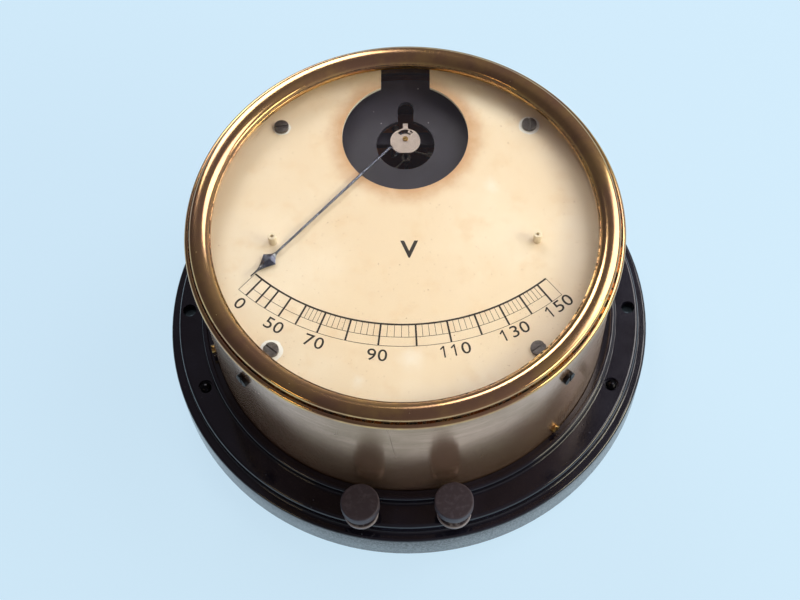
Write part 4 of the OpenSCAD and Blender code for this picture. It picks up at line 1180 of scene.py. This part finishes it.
@dataclass
class Studio:
    """The pale floor, the lamps and the camera of the photograph."""

    ground: Colour = srgb(204, 230, 247)
    focal_px: float = 1534.0
    frame_px: float = 800.0
    tilt: float = 62.4
    roll: float = -3.0
    turn: float = -2.9
    offset: Triple = (4.6, -15.5, -789.5)
    aim: Triple = (0.0, 0.0, 0.08)
    floor_half: float = 9.0
    glow: float = 1.1
    glow_share: float = 0.82
    sky: tuple[tuple[float, Colour], ...] = (
        (0.0, (0.42, 0.43, 0.44)), (0.18, (0.22, 0.218, 0.226)), (0.5, (0.146, 0.13, 0.15)))
    side: tuple[float, float, float, float] = (-0.5, 0.6, 0.6, 1.6)
    lamps: tuple[Lamp, ...] = (
        Lamp("key_lamp", (0.75, 0.45, 1.05), (0.7, 0.7), 6.5, (1.0, 0.97, 0.95)),
        Lamp("window_lamp", (-0.38, 0.98, 0.9), (0.6, 0.42), 5.2, (1.0, 0.97, 0.91)),
        Lamp("front_lamp", (0.95, -0.28, 0.66), (0.7, 0.24), 5.5, (1.0, 0.93, 0.66)),
        Lamp("left_lamp", (-0.8, -0.72, 0.7), (0.3, 0.1), 0.6, (1.0, 0.72, 0.35)))

    def build(self) -> None:
        """Builds the camera, floor, world and lamps."""
        self.camera()
        self.floor()
        self.world()
        for lamp in self.lamps:
            lamp.hang(self.aim)
        bpy.context.scene.view_settings.view_transform = "Standard"

    def camera(self) -> None:
        """Places the camera where the photograph was taken."""
        e, r, p = (math.radians(v) for v in (self.tilt, self.roll, self.turn))
        back = Vector((0, -math.cos(e), math.sin(e)))
        right = Vector((1, 0, 0))
        up = back.cross(right)
        rows = Matrix((math.cos(r) * right + math.sin(r) * up,
                       -math.sin(r) * right + math.cos(r) * up, back))
        look = rows @ Matrix.Rotation(p, 3, "Z")
        data = bpy.data.cameras.new("camera")
        data.sensor_width = SENSOR
        data.sensor_fit = "HORIZONTAL"
        data.lens = self.focal_px / self.frame_px * SENSOR
        made = shown("camera", data)
        made.matrix_world = (Matrix.Translation(-(look.transposed() @ (Vector(self.offset) * MM)))
                             @ look.transposed().to_4x4())
        bpy.context.scene.camera = made

    def floor(self) -> None:
        """Lays the floor."""
        bm = bmesh.new()
        bmesh.ops.create_grid(bm, x_segments=8, y_segments=8, size=self.floor_half)
        mesh = bpy.data.meshes.new("floor")
        bm.to_mesh(mesh)
        bm.free()
        made = shown("floor", mesh)
        shade = Shade("floor")
        shade.set(Base_Color=self.ground, Roughness=0.9, Specular_IOR_Level=0.1)
        glow = shade.node("ShaderNodeEmission")
        glow.inputs["Color"].default_value = (*self.ground, 1.0)
        glow.inputs["Strength"].default_value = self.glow
        path = shade.node("ShaderNodeLightPath")
        seen = shade.calc("MAXIMUM", path.outputs["Is Camera Ray"], shade.calc(
            "MAXIMUM", path.outputs["Is Glossy Ray"], path.outputs["Is Transmission Ray"]))
        shade.over(shade.calc("MULTIPLY", seen, self.glow_share), glow.outputs[0])
        mesh.materials.append(shade.material)

    def world(self) -> None:
        """Sets a room that is pale at the horizon, dim above and brighter towards the right."""
        world = bpy.data.worlds.new("studio")
        bpy.context.scene.world = world
        world.use_nodes = True
        tree = world.node_tree
        place = tree.nodes.new("ShaderNodeTexCoord")
        split = tree.nodes.new("ShaderNodeSeparateXYZ")
        tree.links.new(place.outputs["Generated"], split.inputs[0])
        ramp = tree.nodes.new("ShaderNodeValToRGB")
        stops = ramp.color_ramp.elements
        stops.remove(stops[1])
        stops[0].color = (*self.sky[0][1], 1.0)
        for height, colour in self.sky[1:]:
            stops.new(height).color = (*colour, 1.0)
        tree.links.new(split.outputs["Z"], ramp.inputs["Fac"])
        side = tree.nodes.new("ShaderNodeMapRange")
        side.interpolation_type = "SMOOTHSTEP"
        for name, level in zip(("From Min", "From Max", "To Min", "To Max"), self.side):
            side.inputs[name].default_value = level
        tree.links.new(split.outputs["X"], side.inputs["Value"])
        tree.links.new(ramp.outputs["Color"], tree.nodes["Background"].inputs["Color"])
        tree.links.new(side.outputs["Result"], tree.nodes["Background"].inputs["Strength"])


def main() -> None:
    """Builds the voltmeter's looks, part by part."""
    logging.basicConfig(level=logging.INFO, format="%(message)s")
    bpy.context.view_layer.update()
    bench = Bench()
    for part in (Studio(), CaseDressing(bench), DialDressing(bench), MovementDressing(bench),
                 TerminalDressing(bench)):
        LOG.info("building %s", type(part).__name__)
        part.build()


if __name__ == "__main__":
    main()
